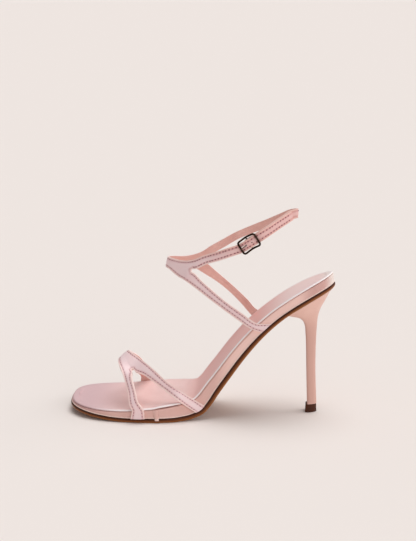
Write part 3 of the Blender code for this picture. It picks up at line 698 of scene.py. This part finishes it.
def refine(rows, counts):
    # rows of points on smooth lines through the given rows, column by column
    lengths = []
    for row, following in zip(rows, rows[1:]):
        a = sum(row, Vector()) / len(row)
        b = sum(following, Vector()) / len(following)
        lengths.append(max((b - a).length, 0.00001))
    columns = []
    for column in zip(*rows):
        slopes = [(b - a) / length for a, b, length in zip(column, column[1:], lengths)]
        tangents = [slopes[0]]
        for i in range(1, len(slopes)):
            before, after = lengths[i - 1], lengths[i]
            tangents.append((slopes[i - 1] * after + slopes[i] * before) / (before + after))
        tangents.append(slopes[-1])
        points = [column[0]]
        for i, count in enumerate(counts):
            for step in range(1, count + 1):
                points.append(hermite(step / count, lengths[i], column[i], column[i + 1],
                                      tangents[i], tangents[i + 1]))
        columns.append(points)
    return [list(row) for row in zip(*columns)]


def makeHeel():
    seatBackX = sole["backReach"] - heel["seatInset"]
    left, right = [], []
    for a in planSteps:
        x = lerp(heel["seatFrontX"], seatBackX, a)
        half = min(heel["seatHalf"] * heelPlan(a), halfWidth(x, heel["seatInset"]))
        left.append(bend(x, middle(x) - half, -gap))
        right.append(bend(x, middle(x) + half, -gap))
    rings = [left + list(reversed(right))]
    bottom = heel["tipHeight"] + gap
    frontTop, backTop = underside(heel["seatFrontX"]), underside(seatBackX)
    shaftFront = heel["shaftX"] - heel["shaftLength"] / 2
    shaftBack = heel["shaftX"] + heel["shaftLength"] / 2 - heel["shaftBackTrim"]
    for frontDown, backDown, frontIn, backIn, shrink in heelSections:
        front = Vector((lerp(heel["seatFrontX"], shaftFront, frontIn), 0,
                        lerp(frontTop, bottom, frontDown)))
        back = Vector((lerp(seatBackX, shaftBack, backIn), 0, lerp(backTop, bottom, backDown)))
        rings.append(dRing(front, back, lerp(heel["seatHalf"], heel["shaftHalf"], shrink)))
    rings = refine(rings, [4, 5, 5, 5, 6, 6, 8, 10])
    piece = loftRings("heel_cover", rings, [heelSatin], caps=True, smoothAngle=50)
    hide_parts("heel")


def makeHeelTip():
    rings = []
    for height, grow in ((1.0, 0.90), (0.985, 0.935), (0.94, 0.945), (0.6, 0.96), (0.3, 0.98),
                         (0.05, 1.0), (0.0, 0.985)):
        length = heel["tipLength"] * grow
        z = heel["tipHeight"] * height
        front = Vector((heel["shaftX"] - length / 2, 0, z))
        back = Vector((heel["shaftX"] + length / 2, 0, z))
        rings.append(dRing(front, back, heel["tipHalf"] * grow))
    piece = loftRings("heel_top_piece", rings, [tipRubber], caps=True, smoothAngle=35)
    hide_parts("heel_tip")


makeHeel()
makeHeelTip()
print("heel built")


# Straps
strap = {
    "step": 0.0007,   # distance between two rows of a strap
    "stitchInset": 0.0016,   # stitch rows from the edges
    "edgeRound": 0.00045,
    "notchRound": 0.0012,
    "notchStart": 0.0005,
    "notchReach": 0.0032,
    "puff": 0.00018,
    "puffReach": 0.0012,
    "groove": 0.00010,
    "grooveWidth": 0.0004,
    "holeColumns": (5, 7),
}
bandShares = [i / 12 for i in range(13)]


def runCounts(rows):
    counts = []
    for row, following in zip(rows, rows[1:]):
        a = sum(row, Vector()) / len(row)
        b = sum(following, Vector()) / len(following)
        counts.append(max(1, round((b - a).length / strap["step"])))
    return counts


def bandMap(rows):
    # place on the cloth of each point of a band: metres along, metres from the middle
    along = 0.0
    before = None
    places = []
    for row in rows:
        centre = sum(row, Vector()) / len(row)
        if before is not None:
            along += (centre - before).length
        before = centre
        wide = (row[-1] - row[0]).length
        places.append([(along, (j / (len(row) - 1) - 0.5) * wide) for j in range(len(row))])
    return places


def rowFrame(rows, i, j, outward):
    # the direction of a band at one of its points, and its outward normal
    a = rows[max(i - 1, 0)][j]
    b = rows[min(i + 1, len(rows) - 1)][j]
    along = (b - a).normalized()
    across = (rows[i][-1] - rows[i][0]).normalized()
    normal = along.cross(across).normalized()
    return along, -normal if normal.dot(outward(rows[i][j])) < 0 else normal


fineStitch = {"pitch": 0.0024, "length": 0.0014, "width": 0.00060}
boldStitch = {"pitch": 0.0027, "length": 0.0015, "width": 0.00100}


def stitchRun(bm, rows, start, end, edge, thickness, outward, kind):
    # a row of stitches along one edge of a band: edge 0 is the first column, 1 the last
    travelled = kind["pitch"] / 2
    before = None
    for i in range(start, end + 1):
        wide = (rows[i][-1] - rows[i][0]).length
        share = strap["stitchInset"] / wide
        share = share if edge == 0 else 1 - share
        place = share * (len(rows[i]) - 1)
        j = min(int(place), len(rows[i]) - 2)
        point = rows[i][j].lerp(rows[i][j + 1], place - j)
        if before is not None:
            travelled += (point - before).length
            if travelled >= kind["pitch"]:
                travelled -= kind["pitch"]
                along, normal = rowFrame(rows, i, j, outward)
                turn = Matrix((along, along.cross(normal), normal)).transposed().to_4x4()
                spot = Matrix.Translation(point + normal * (thickness / 2 - strap["groove"] * 0.5))
                size = Matrix.Diagonal((kind["length"] / 2, kind["width"] / 2,
                                        kind["width"] * 0.42, 1.0))
                bmesh.ops.create_uvsphere(bm, u_segments=6, v_segments=5, radius=1.0,
                                          matrix=spot @ turn @ size)
        before = point


def forkedStrap(name, node, first, second, stem, thickness, outward, holes=()):
    # two bands that share an edge along the stem and part beyond it
    counts = [runCounts(first), runCounts(second)]
    (startA, endA), startB = stem[0], stem[1][0]
    for step in range(endA - startA):
        shared = max(counts[0][startA + step], counts[1][startB + step])
        counts[0][startA + step] = shared
        counts[1][startB + step] = shared
    rowsA = refine(first, counts[0])
    rowsB = refine(second, counts[1])
    rowA = sum(counts[0][:startA])
    rowB = sum(counts[1][:startB])
    length = sum(counts[0][startA:endA])
    for step in range(length + 1):
        shared = (rowsA[rowA + step][-1] + rowsB[rowB + step][0]) / 2
        rowsA[rowA + step][-1] = shared
        rowsB[rowB + step][0] = shared.copy()
    spans = [(rowA, rowA + length), (rowB, rowB + length)]
    notches = []
    if rowA > 0:
        notches.append(rowsA[rowA][-1].copy())
    if rowA + length < len(rowsA) - 1:
        notches.append(rowsA[rowA + length][-1].copy())
    roundNotch(rowsA, spans[0], -1)
    roundNotch(rowsB, spans[1], 0)
    flatRows = [[[point.copy() for point in row] for row in rows] for rows in (rowsA, rowsB)]
    bm = bmesh.new()
    layer = bm.loops.layers.uv.new("bandMap")
    edgeLayer = bm.loops.layers.uv.new("edgeMap")
    for number, rows in enumerate((rowsA, rowsB)):
        cloth = bandMap(rows)
        puffed, edges = puffBand(rows, spans[number], 1 - number, notches, outward)
        places = drapeGrid(bm, puffed, layer, lambda i, j, cloth=cloth: cloth[i][j])
        for face in {face for vert in places for face in vert.link_faces}:
            for loop in face.loops:
                i, j = places[loop.vert]
                loop[edgeLayer].uv = (edges[i][j], 0.0)
        if number == 0 and holes:
            low, high = strap["holeColumns"]
            cut = set()
            for face in {face for vert in places for face in vert.link_faces}:
                i, j = [min(spot) for spot in zip(*(places[vert] for vert in face.verts))]
                if low <= j < high and any(start <= i < end for start, end in holes):
                    cut.add(face)
            bmesh.ops.delete(bm, geom=list(cut), context="FACES_ONLY")
    bmesh.ops.remove_doubles(bm, verts=bm.verts, dist=mergeDistance)
    bmesh.ops.recalc_face_normals(bm, faces=bm.faces)
    bm.faces.ensure_lookup_table()
    sample = bm.faces[0]
    if sample.normal.dot(outward(sample.calc_center_median())) < 0:
        bmesh.ops.reverse_faces(bm, faces=bm.faces)
    piece = addPiece(name, bm, [strapSatin, liningLeather])
    skin = thicken(piece, thickness)
    skin.use_even_offset = False
    skin.material_offset = 1
    skin.material_offset_rim = 0
    soft = piece.modifiers.new("foldedEdge", "BEVEL")
    soft.width = strap["edgeRound"]
    soft.segments = 3
    soft.limit_method = "ANGLE"
    soft.angle_limit = math.radians(50)
    soft.use_clamp_overlap = True
    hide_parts(node)
    return flatRows, spans


def roundNotch(rows, span, column):
    # opens the notch between two bands into a small curve
    for start, step in ((span[0], -1), (span[1], 1)):
        corner = rows[start][column]
        i = start + step
        while 0 <= i < len(rows):
            travelled = (rows[i][column] - corner).length
            if travelled > strap["notchReach"] * 3:
                break
            pull = strap["notchRound"] * (1 - math.exp(-(travelled / strap["notchStart"]) ** 2))
            pull *= math.exp(-(travelled / strap["notchReach"]) ** 2)
            inner, other = rows[i][column], rows[i][0 if column == -1 else -1]
            last = len(rows[i]) - 1
            for j in range(last + 1):
                near = 1 - j / last if column == 0 else j / last
                rows[i][j] = rows[i][j] + (other - inner).normalized() * pull * near
            i += step


def puffBand(rows, span, inner, notches, outward):
    # the band's surface, raised along its middle and sunk along its stitch rows, and the
    # distance of each of its points from a free edge
    made, edges = [], []
    for i, row in enumerate(rows):
        onStem = span[0] <= i <= span[1]
        line, away = [], []
        for j, point in enumerate(row):
            first = (point - row[0]).length
            second = (point - row[-1]).length
            outer = second if inner == 0 else first
            free = first if inner == 0 else second
            if onStem:
                free = min([(point - notch).length for notch in notches] + [1.0])
            edge = min(outer, free)
            groove = math.exp(-((edge - strap["stitchInset"]) / strap["grooveWidth"]) ** 2)
            lift = strap["puff"] * ease(0.0, strap["puffReach"], edge - strap["stitchInset"])
            normal = rowFrame(rows, i, j, outward)[1]
            line.append(point + normal * (lift - strap["groove"] * groove))
            away.append(min(edge, satinLook["edgeReach"]))
        made.append(line)
        edges.append(away)
    return made, edges


def columnsBetween(start, end, shares):
    return [start.lerp(end, share) for share in shares]


def bandRow(centre, along, facing, width, shares):
    across = along.cross(facing).normalized()
    return columnsBetween(centre - across * width / 2, centre + across * width / 2, shares)


def twoBands(shares):
    return [share / 2 for share in shares] + [0.5 + share / 2 for share in shares][1:]


placesAlong = []
for number in range(601):
    x = lerp(-sole["toeReach"], sole["backReach"], number / 600)
    placesAlong.append((x, underside(x), math.sin(lean(x)), math.cos(lean(x))))


def wallSide(point, side, out):
    # moves a point sideways until it is a given way out from the wall
    x = min(placesAlong, key=lambda p: abs((point.x - p[0]) * p[3] + (point.z - p[1]) * p[2]))[0]
    return Vector((point.x, middle(x) + side * (halfWidth(x, wall["inset"]) + out), point.z))


def footRows(x, side, footWidth, topWidth, slantBack, thickness, shares):
    # the two rows of a leg that lie on the wall, the upper one first
    out = gap + thickness / 2
    angle = slopeAngle(x)
    spread = math.cos(angle)
    low, high = [], []
    for share in shares:
        place = x + (share - 0.5) * footWidth * spread
        point = bend(place, middle(place) + side * halfWidth(place, wall["inset"]),
                     outsoleHeight(place) + 2 * gap)
        low.append(Vector((point.x, middle(place) + side * (halfWidth(place, wall["inset"]) + out),
                           point.z)))
    centre = bend(x, middle(x), sockHigh(x))
    slant = Vector((math.cos(angle), 0.0, math.sin(angle)))
    for share in shares:
        high.append(wallSide(centre + slant * ((share - 0.5) * topWidth + slantBack), side, out))
    return [high, low]


vamp = {
    "thickness": 0.0018,
    "rise": 0.0315,
    "slope": 40.0,
    "width": 0.0096,
    "frontLegX": -0.0068,
    "frontLegWidth": 0.0066,
    "frontLegFoot": 0.0108,
    "rearLegX": 0.0424,
    "rearLegWidth": 0.0066,
    "rearLegFoot": 0.0084,
    "rearLegSlant": -0.0033,
    "innerLegX": -0.0072,
}
vampStem = (   # rows over the instep: front edge, middle and rear edge, each along, side, rise
    ((-0.396, 0.02, 0.87), (-0.330, 0.03, 0.985), (-0.262, 0.03, 1.09)),
    ((-0.390, -0.17, 0.84), (-0.290, -0.15, 0.92), (-0.205, -0.08, 1.05)),
    ((-0.353, -0.37, 0.78), (-0.208, -0.36, 0.755), (-0.142, -0.17, 1.00)),
)
vampSides = {   # middles of the rows: along, side, rise, turn, and on a leg the share of its width
    "inner": ((-0.306, 0.34, 0.85, 62), (-0.240, 0.62, 0.64, 42), (-0.170, 0.84, 0.36, 24),
              (-0.120, 0.97, 0.12, 8)),
    "front": ((-0.235, -0.66, 0.61, 36, 0.92), (-0.182, -0.87, 0.348, 18, 0.92),
              (-0.147, -0.98, 0.126, 5, 1.07)),
    "rear": ((-0.015, -0.52, 0.792, 48, 1.27), (0.235, -0.74, 0.485, 34, 0.94),
             (0.422, -0.895, 0.252, 10, 0.97)),
}


def vampPlace(along, side, rise):
    return Vector((along * sole["toeReach"], side * sole["ballWidth"] / 2,
                   sockHigh(0.0) + rise * vamp["rise"]))


def vampFacing(side, turn):
    slope, turn = math.radians(vamp["slope"]), math.radians(turn)
    return Vector((-math.sin(slope) * math.sin(turn), side * math.cos(turn),
                   math.cos(slope) * math.sin(turn)))


def addLeg(rows, table, footX, width, footWidth, slant):
    # an outer leg, from the fork down to the sole
    feet = footRows(footX, -1, footWidth, (width + footWidth) / 2, slant, vamp["thickness"], bandShares)
    before = sum(rows[-1], Vector()) / len(rows[-1])
    after = sum(feet[0], Vector()) / len(feet[0])
    stops = [before] + [vampPlace(*row[:3]) for row in table] + [after]
    for i, row in enumerate(table, start=1):
        line = bandRow(stops[i], stops[i + 1] - stops[i - 1], vampFacing(-1, row[3]), width * row[4],
                       bandShares)
        if (line[0] - line[-1]).dot(rows[-1][0] - rows[-1][-1]) < 0:
            line.reverse()
        if i == len(table):
            line = [wallSide(point, -1, gap + vamp["thickness"] / 2) for point in line]
        rows.append(line)
    rows.extend(feet)


def vampOutward(point):
    # away from a line across the forefoot, 12 mm ahead of the origin and 12 mm up
    return Vector((point.x + 0.012, point.y, point.z - 0.012))


def makeVampStrap():
    innerSide = vampSides["inner"]
    stem = [[vampPlace(*place) for place in row] for row in vampStem]
    rowsFront, rowsRear = [], []
    shares = twoBands(bandShares)
    half = len(bandShares)
    thickness = vamp["thickness"]
    feet = footRows(vamp["innerLegX"], 1, vamp["width"], vamp["width"], 0.0, thickness, shares)
    for row in reversed(feet):
        rowsFront.append(row[:half])
        rowsRear.append(row[half - 1:])
    stops = [vampPlace(*row[:3]) for row in innerSide] + [stem[0][1]]
    for i in reversed(range(len(innerSide))):
        direction = stops[i + 1] - (stops[i - 1] if i else stops[0])
        row = bandRow(stops[i], direction, vampFacing(1, innerSide[i][3]), vamp["width"], shares)
        if row[0].x > row[-1].x:
            row.reverse()
        if i == len(innerSide) - 1:
            row = [wallSide(point, 1, gap + thickness / 2) for point in row]
        rowsFront.append(row[:half])
        rowsRear.append(row[half - 1:])
    stemEnd = len(rowsFront) + 2
    for front, mid, rear in stem:
        rowsFront.append(columnsBetween(front, mid, bandShares))
        rowsRear.append(columnsBetween(mid, rear, bandShares))
    addLeg(rowsFront, vampSides["front"], vamp["frontLegX"], vamp["frontLegWidth"],
           vamp["frontLegFoot"], 0.0)
    addLeg(rowsRear, vampSides["rear"], vamp["rearLegX"], vamp["rearLegWidth"],
           vamp["rearLegFoot"], vamp["rearLegSlant"])
    rows, spans = forkedStrap("vamp_strap_satin", "vamp_strap", rowsFront, rowsRear,
                              ((0, stemEnd), (0, stemEnd)), thickness, vampOutward)
    bm = bmesh.new()
    for number, band in enumerate(rows):
        for start, edge in ((3, number), (spans[number][1] + 1, 1 - number)):
            stitchRun(bm, band, start, len(band) - 4, edge, thickness, vampOutward, fineStitch)
    stitches = finishPiece("vamp_stitching", bm, [threadMaterial])


makeVampStrap()
print("vamp strap built")


# The ankle harness
ankle = {
    "thickness": 0.0012,
    "width": 0.0071,
    "frontX": 0.0125,
    "backX": 0.1135,
    "span": 0.0500,
    "instepRise": 0.0150,
    "rise": 0.0415,
    "outerLegX": 0.0930,
    "innerLegX": 0.0900,
    "legWidth": 0.0058,
    "legFoot": 0.0096,
    "legSlant": -0.0060,
    "innerLegSlant": -0.0030,
    "legSwell": 0.0022,
    "outerLegBow": -0.0008,
    "innerLegBow": 0.0016,
    "outerLegShares": (1.06, 1.06, 1.17, 1.32),   # widths of a leg's rows, from the sole up
    "innerLegShares": (1.00, 0.92, 1.01, 1.25),
    "innerArmShares": (0.90, 0.83, 0.80, 0.82, 0.89, 0.96),   # widths of an arm's first rows
    "legStops": (0.20, 0.46, 0.68, 0.85),   # where those rows of a leg lie, from the sole up
}
ankleRuns = {   # middles of the rows: along, side, rise
    "outerArm": ((0.312, -0.60, 0.178), (0.405, -0.80, 0.272), (0.490, -0.93, 0.362)),
    "tail": ((0.784, -0.815, 0.755), (0.850, -0.60, 0.845), (0.915, -0.36, 0.925),
             (0.950, -0.20, 0.965)),
    "innerArm": ((0.335, 0.95, 0.152), (0.430, 1.00, 0.287), (0.520, 1.01, 0.415), (0.640, 0.96, 0.553),
                 (0.760, 0.79, 0.690), (0.870, 0.52, 0.835), (0.955, 0.22, 0.955), (0.992, 0.00, 0.990)),
}
instep = (   # rows over the instep, outer side first: upper edge, middle and lower edge
    ((0.208, -0.32, 0.130), (0.196, -0.32, -0.066), (0.145, -0.24, -0.268)),
    ((0.138, -0.08, 0.080), (0.124, -0.08, -0.055), (0.088, -0.03, -0.222)),
    ((0.068, 0.14, 0.075), (0.055, 0.14, -0.025), (0.030, 0.18, -0.140)),
    ((0.010, 0.40, 0.092), (0.001, 0.40, -0.002), (-0.008, 0.40, -0.104)),
    ((0.040, 0.58, 0.075), (0.032, 0.58, -0.025), (0.018, 0.58, -0.140)),
    ((0.130, 0.74, 0.055), (0.120, 0.74, -0.055), (0.090, 0.72, -0.225)),
    ((0.262, 0.90, 0.128), (0.285, 0.87, -0.066), (0.205, 0.84, -0.190)),
)
buckle = {
    "length": 0.0159,
    "height": 0.0118,
    "wire": 0.0015,
    "corner": 0.0017,
    "slope": 33.0,
    "bar": 0.0010,
    "bow": 0.0034,   # how far the middle of the frame stands out
    "prong": 0.0008,
    "slotReach": 0.0026,   # half of the slot in the strap, round the centre bar
}


def anklePlace(along, side, rise):
    return Vector((lerp(ankle["frontX"], ankle["backX"], along), side * ankle["span"] / 2,
                   sole["heelRise"] + ankle["instepRise"] + rise * ankle["rise"]))


buckleTurn = math.radians(buckle["slope"])
buckleAlong = Vector((math.cos(buckleTurn), 0.0, math.sin(buckleTurn)))
buckleAcross = Vector((-buckleAlong.z, 0.0, buckleAlong.x))
buckleOut = Vector((0.0, -1.0, 0.0))
buckleMiddle = anklePlace(0.638, -1.0, 0.535)


def bucklePoint(along, across, depth):
    # depth is how far the point lies behind the frame's ends, towards the foot
    return buckleMiddle + buckleAlong * along + buckleAcross * across - buckleOut * depth


def armRows(points, width, shares=()):
    # rows of a band that stands on edge along the given points, upper edge first;
    # the shares narrow the band at its first points
    rows = []
    for i, point in enumerate(points):
        half = width / 2 * (shares[i] if i < len(shares) else 1.0)
        direction = points[min(i + 1, len(points) - 1)] - points[max(i - 1, 0)]
        outward = Vector((direction.y, -direction.x, 0.0)).normalized()
        across = direction.cross(outward).normalized()
        if across.z < 0:
            across = -across
        rows.append(columnsBetween(point + across * half, point - across * half, bandShares))
    return rows


def uprightRows(rows, start, end=None):
    # sets rows square to the buckle's length
    for i in range(start, len(rows) if end is None else end):
        centre = (rows[i][0] + rows[i][-1]) / 2
        half = buckleAcross * ankle["width"] / 2
        rows[i] = columnsBetween(centre + half, centre - half, bandShares)


def legRows(forkRow, side, footX, slant, bow, widths):
    # rows of a leg from the sole up towards the fork, the edge towards the heel first
    feet = footRows(footX, side, ankle["legFoot"], ankle["legWidth"] * 1.1, slant, ankle["thickness"],
                    bandShares)
    feet = [list(reversed(row)) for row in feet]
    bottomEnd = (feet[0][0] + feet[0][-1]) / 2
    topEnd = (anklePlace(*forkRow[1]) + anklePlace(*forkRow[2])) / 2
    rows = list(reversed(feet))
    direction = topEnd - bottomEnd
    for share, width in zip(ankle["legStops"], widths):
        centre = bottomEnd.lerp(topEnd, share)
        swell = math.sin(math.pi * share)
        centre += Vector((bow * 0.65, side * ankle["legSwell"], bow * 0.75)) * swell
        row = bandRow(centre, direction, Vector((0.0, side, 0.0)), ankle["legWidth"] * width,
                      bandShares)
        if row[0].x < row[-1].x:
            row.reverse()
        rows.append(row)
    return rows


def ankleOutward(point):
    # away from an upright line through the middle of the ankle
    return Vector((point.x - 0.070, point.y, 0.0))


def makeAnkleHarness():
    thickness = ankle["thickness"]
    outerDepth = buckle["wire"] / 2 + gap + thickness / 2
    innerDepth = outerDepth + thickness + gap
    loopRadius = buckle["bar"] / 2 + gap + thickness / 2
    humpDepth = buckle["bow"] - loopRadius - thickness - gap
    half = buckle["length"] / 2
    outerArm, tail, innerArm = [[anklePlace(*row) for row in ankleRuns[run]]
                                for run in ("outerArm", "tail", "innerArm")]
    through = [
        bucklePoint(-half + 0.0014, 0.0, outerDepth),
        bucklePoint(-0.0018, 0.0, humpDepth + gap),
        bucklePoint(0.0012, 0.0, humpDepth),
        bucklePoint(half - 0.0010, 0.0, outerDepth),
        bucklePoint(half + 0.002, 0.0, outerDepth),
    ]
    outerPoints = outerArm + through + tail
    outerRows = armRows(outerPoints, ankle["width"])
    holeRow = len(outerArm)
    # the inner arm comes round the back and runs on under the tail
    underTail = []
    line = outerPoints + innerArm[-1:]
    firstUnder = len(outerArm) + len(through) - 1
    for i in reversed(range(firstUnder, len(outerPoints))):
        direction = line[i + 1] - line[i - 1]
        inward = Vector((-direction.y, direction.x, 0.0)).normalized()
        underTail.append(line[i] + inward * (thickness + gap))
    toBar = [
        bucklePoint(half - 0.0010, 0.0, innerDepth),
        bucklePoint(buckle["slotReach"], 0.0, buckle["bow"] - loopRadius + gap),
    ]
    loopSteps = 6
    for step in range(loopSteps + 1):
        turn = math.radians(90 + 180 * step / loopSteps)
        toBar.append(bucklePoint(loopRadius * math.cos(turn), 0.0,
                                 buckle["bow"] - loopRadius * math.sin(turn)))
    foldDepth = max(innerDepth + thickness + gap, buckle["bow"] + loopRadius)
    for along in (buckle["slotReach"], half - 0.0020, half + 0.0025):
        toBar.append(bucklePoint(along, 0.0, foldDepth))
    innerPoints = innerArm + underTail + toBar
    innerRows = armRows(innerPoints, ankle["width"], ankle["innerArmShares"])
    uprightRows(innerRows, len(innerPoints) - len(toBar) - 1)
    uprightRows(outerRows, len(outerArm), len(outerArm) + len(through))
    slotStart = len(innerPoints) - len(toBar) + 1
    upperRows = list(reversed(outerRows))
    lowerRows = legRows(instep[0], -1, ankle["outerLegX"], ankle["legSlant"], ankle["outerLegBow"],
                        ankle["outerLegShares"])
    starts = (len(upperRows), len(lowerRows))
    for top, mid, bottom in instep:
        upperRows.append(columnsBetween(anklePlace(*top), anklePlace(*mid), bandShares))
        lowerRows.append(columnsBetween(anklePlace(*mid), anklePlace(*bottom), bandShares))
    ends = (len(upperRows) - 1, len(lowerRows) - 1)
    upperRows.extend(innerRows)
    innerLeg = legRows(instep[-1], 1, ankle["innerLegX"], ankle["innerLegSlant"], ankle["innerLegBow"],
                       ankle["innerLegShares"])
    lowerRows.extend(reversed(innerLeg))
    counts = runCounts(upperRows)
    prongHole = starts[0] - 2 - holeRow
    slotFirst = ends[0] + 1 + slotStart
    spareHole = starts[0] - 2 - (holeRow + 2)
    holes = [   # first and last row of the prong's hole, the slot and the spare hole
        (sum(counts[:prongHole]), sum(counts[:prongHole + 1])),
        (sum(counts[:slotFirst]), sum(counts[:slotFirst + loopSteps + 2])),
        (sum(counts[:spareHole + 1]) - 2, sum(counts[:spareHole + 1]) - 1),
    ]
    rows, spans = forkedStrap("ankle_harness_satin", "ankle_harness", upperRows, lowerRows,
                              tuple(zip(starts, ends)), thickness, ankleOutward, holes)
    bm = bmesh.new()
    upper, lower = rows
    hidden = sum(counts[:ends[0] + len(innerArm)])
    runs = []
    for edge in (0, 1):
        runs += [(upper, 4, spans[0][0] - 1, edge, boldStitch),
                 (upper, spans[0][1] + 1, hidden, edge, boldStitch),
                 (lower, 3, spans[1][0] - 1, edge, fineStitch),
                 (lower, spans[1][1] + 1, len(lower) - 4, edge, fineStitch)]
    runs += [(upper, *spans[0], 0, fineStitch), (lower, *spans[1], 1, fineStitch)]
    for band, start, end, edge, kind in runs:
        stitchRun(bm, band, start, end, edge, thickness, ankleOutward, kind)
    stitches = finishPiece("ankle_stitching", bm, [threadMaterial])


makeAnkleHarness()
print("ankle harness built")


# The buckle
def sweepRings(points, radii, sides, closed=False):
    # round rings along a line of points
    rings = []
    last = len(points) - 1
    normal = Vector((0.0, 1.0, 0.0))
    for i, point in enumerate(points):
        before = points[i - 1] if closed or i else point
        after = points[(i + 1) % len(points)] if closed or i < last else point
        direction = (after - before).normalized()
        normal = (normal - direction * normal.dot(direction)).normalized()
        other = direction.cross(normal)
        rings.append([point + (normal * math.cos(turn) + other * math.sin(turn)) * radii[i]
                      for turn in (2 * math.pi * number / sides for number in range(sides))])
    return rings


def makeBuckle():
    halfLong = (buckle["length"] - buckle["wire"]) / 2
    halfHigh = (buckle["height"] - buckle["wire"]) / 2
    corner = buckle["corner"]
    path = []
    for along, across, start in ((1, 1, 0), (-1, 1, 90), (-1, -1, 180), (1, -1, 270)):
        for step in range(9):
            turn = math.radians(start + 90 * step / 8)
            path.append((along * (halfLong - corner) + corner * math.cos(turn),
                         across * (halfHigh - corner) + corner * math.sin(turn)))
        straight = (halfLong if start in (0, 180) else halfHigh) - corner
        for step in range(1, 12):
            share = 1 - 2 * step / 12
            if start in (0, 180):
                path.append((along * straight * share, across * halfHigh))
            else:
                path.append((along * halfLong, across * straight * share))
    points = []
    for along, across in path:
        rail = abs(across) > halfHigh - 0.0001
        bow = buckle["bow"] * math.cos(math.pi / 2 * along / halfLong) ** 2 if rail else 0.0
        points.append(bucklePoint(along, across, bow))
    rings = sweepRings(points, [buckle["wire"] / 2] * len(points), 16, closed=True)
    frameRing = loftRings("buckle_frame_metal", rings, [buckleMetal], closed=True)
    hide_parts("buckle_frame")
    ends = [bucklePoint(0.0, halfHigh * (2 * step / 6 - 1), buckle["bow"]) for step in range(7)]
    bar = loftRings("buckle_centre_bar", sweepRings(ends, [buckle["bar"] / 2] * 7, 14), [buckleMetal],
                    caps=True)

    ringRadius = buckle["bar"] / 2 + gap + buckle["prong"] / 2
    route = []
    for step in range(10):
        turn = math.radians(60 - 240 * step / 9)
        route.append((ringRadius * math.cos(turn), buckle["bow"] - ringRadius * math.sin(turn)))
    over = -(buckle["wire"] / 2 + gap + buckle["prong"] / 2)
    route += [(-ringRadius - 0.0006, buckle["bow"] - 0.0012), (-0.0036, 0.0008), (-0.0055, -0.0007),
              (-halfLong + 0.0004, over), (-halfLong - 0.0009, over + 0.0002)]
    points = [[bucklePoint(along, 0.0, depth)] for along, depth in route]
    smooth = [row[0] for row in refine(points, [3] * (len(points) - 1))]
    radii = [buckle["prong"] / 2] * len(smooth)
    for back, share in ((1, 0.55), (2, 0.8), (3, 0.93)):
        radii[-back] = buckle["prong"] / 2 * share
    prong = loftRings("buckle_prong_metal", sweepRings(smooth, radii, 12), [prongMetal], caps=True)
    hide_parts("buckle_prong")


makeBuckle()
print("buckle built")


# Floor, light and camera
stage = {
    "floorColour": "#EFE6E1",
    "floorHalf": 15.0,
    "skyStrength": 0.325,
}
suns = (   # name, strength, how many degrees wide, direction
    ("keyLight", 1.76, 48, (-0.16, -0.17, -1.0)),
    ("fillLight", 1.15, 70, (-0.85, 1.0, -0.13)),
    ("rimLight", 0.6, 35, (-1.0, -0.25, -0.30)),
)
view = {   # the photo's angle: degrees round from the side and up
    "azimuth": 3.5,
    "elevation": 13.5,
    "lens": 111.2,
    "sensor": 36.0,
    "place": (0.1208, -1.2452, 0.4108),
}


def makeFloor():
    bm = bmesh.new()
    bmesh.ops.create_grid(bm, x_segments=1, y_segments=1, size=stage["floorHalf"])
    mesh = bpy.data.meshes.new("floor")
    bm.to_mesh(mesh)
    bm.free()
    # matt paper: pale, without a highlight
    material, _, shader = newMaterial("paperFloor", 0.95)
    shader.inputs["Base Color"].default_value = toLinear(stage["floorColour"])
    shader.inputs["Specular IOR Level"].default_value = 0.0
    mesh.materials.append(material)
    floor = bpy.data.objects.new("floor", mesh)
    bpy.context.collection.objects.link(floor)


def makeSun(name, strength, angle, direction):
    light = bpy.data.lights.new(name, "SUN")
    light.energy = strength
    light.angle = math.radians(angle)
    lamp = bpy.data.objects.new(name, light)
    lamp.rotation_euler = Vector(direction).to_track_quat("-Z", "Y").to_euler()
    bpy.context.collection.objects.link(lamp)


def makeLights():
    world = bpy.data.worlds.new("studio")
    world.use_nodes = True
    background = world.node_tree.nodes["Background"]
    background.inputs["Color"].default_value = toLinear("#FFFFFF")
    background.inputs["Strength"].default_value = stage["skyStrength"]
    bpy.context.scene.world = world
    for sun in suns:
        makeSun(*sun)


def makeCamera():
    azimuth, elevation = math.radians(view["azimuth"]), math.radians(view["elevation"])
    back = Vector((math.sin(azimuth) * math.cos(elevation), -math.cos(azimuth) * math.cos(elevation),
                   math.sin(elevation)))
    right = Vector((math.cos(azimuth), math.sin(azimuth), 0.0))
    up = back.cross(right)
    data = bpy.data.cameras.new("camera")
    data.lens = view["lens"]
    data.sensor_width = view["sensor"]
    camera = bpy.data.objects.new("camera", data)
    bpy.context.collection.objects.link(camera)
    turn = Matrix((right, up, back)).transposed().to_4x4()
    camera.matrix_world = Matrix.Translation(Vector(view["place"])) @ turn
    bpy.context.scene.camera = camera


makeFloor()
makeLights()
makeCamera()
bpy.context.scene.view_settings.view_transform = "Standard"
print("studio ready")
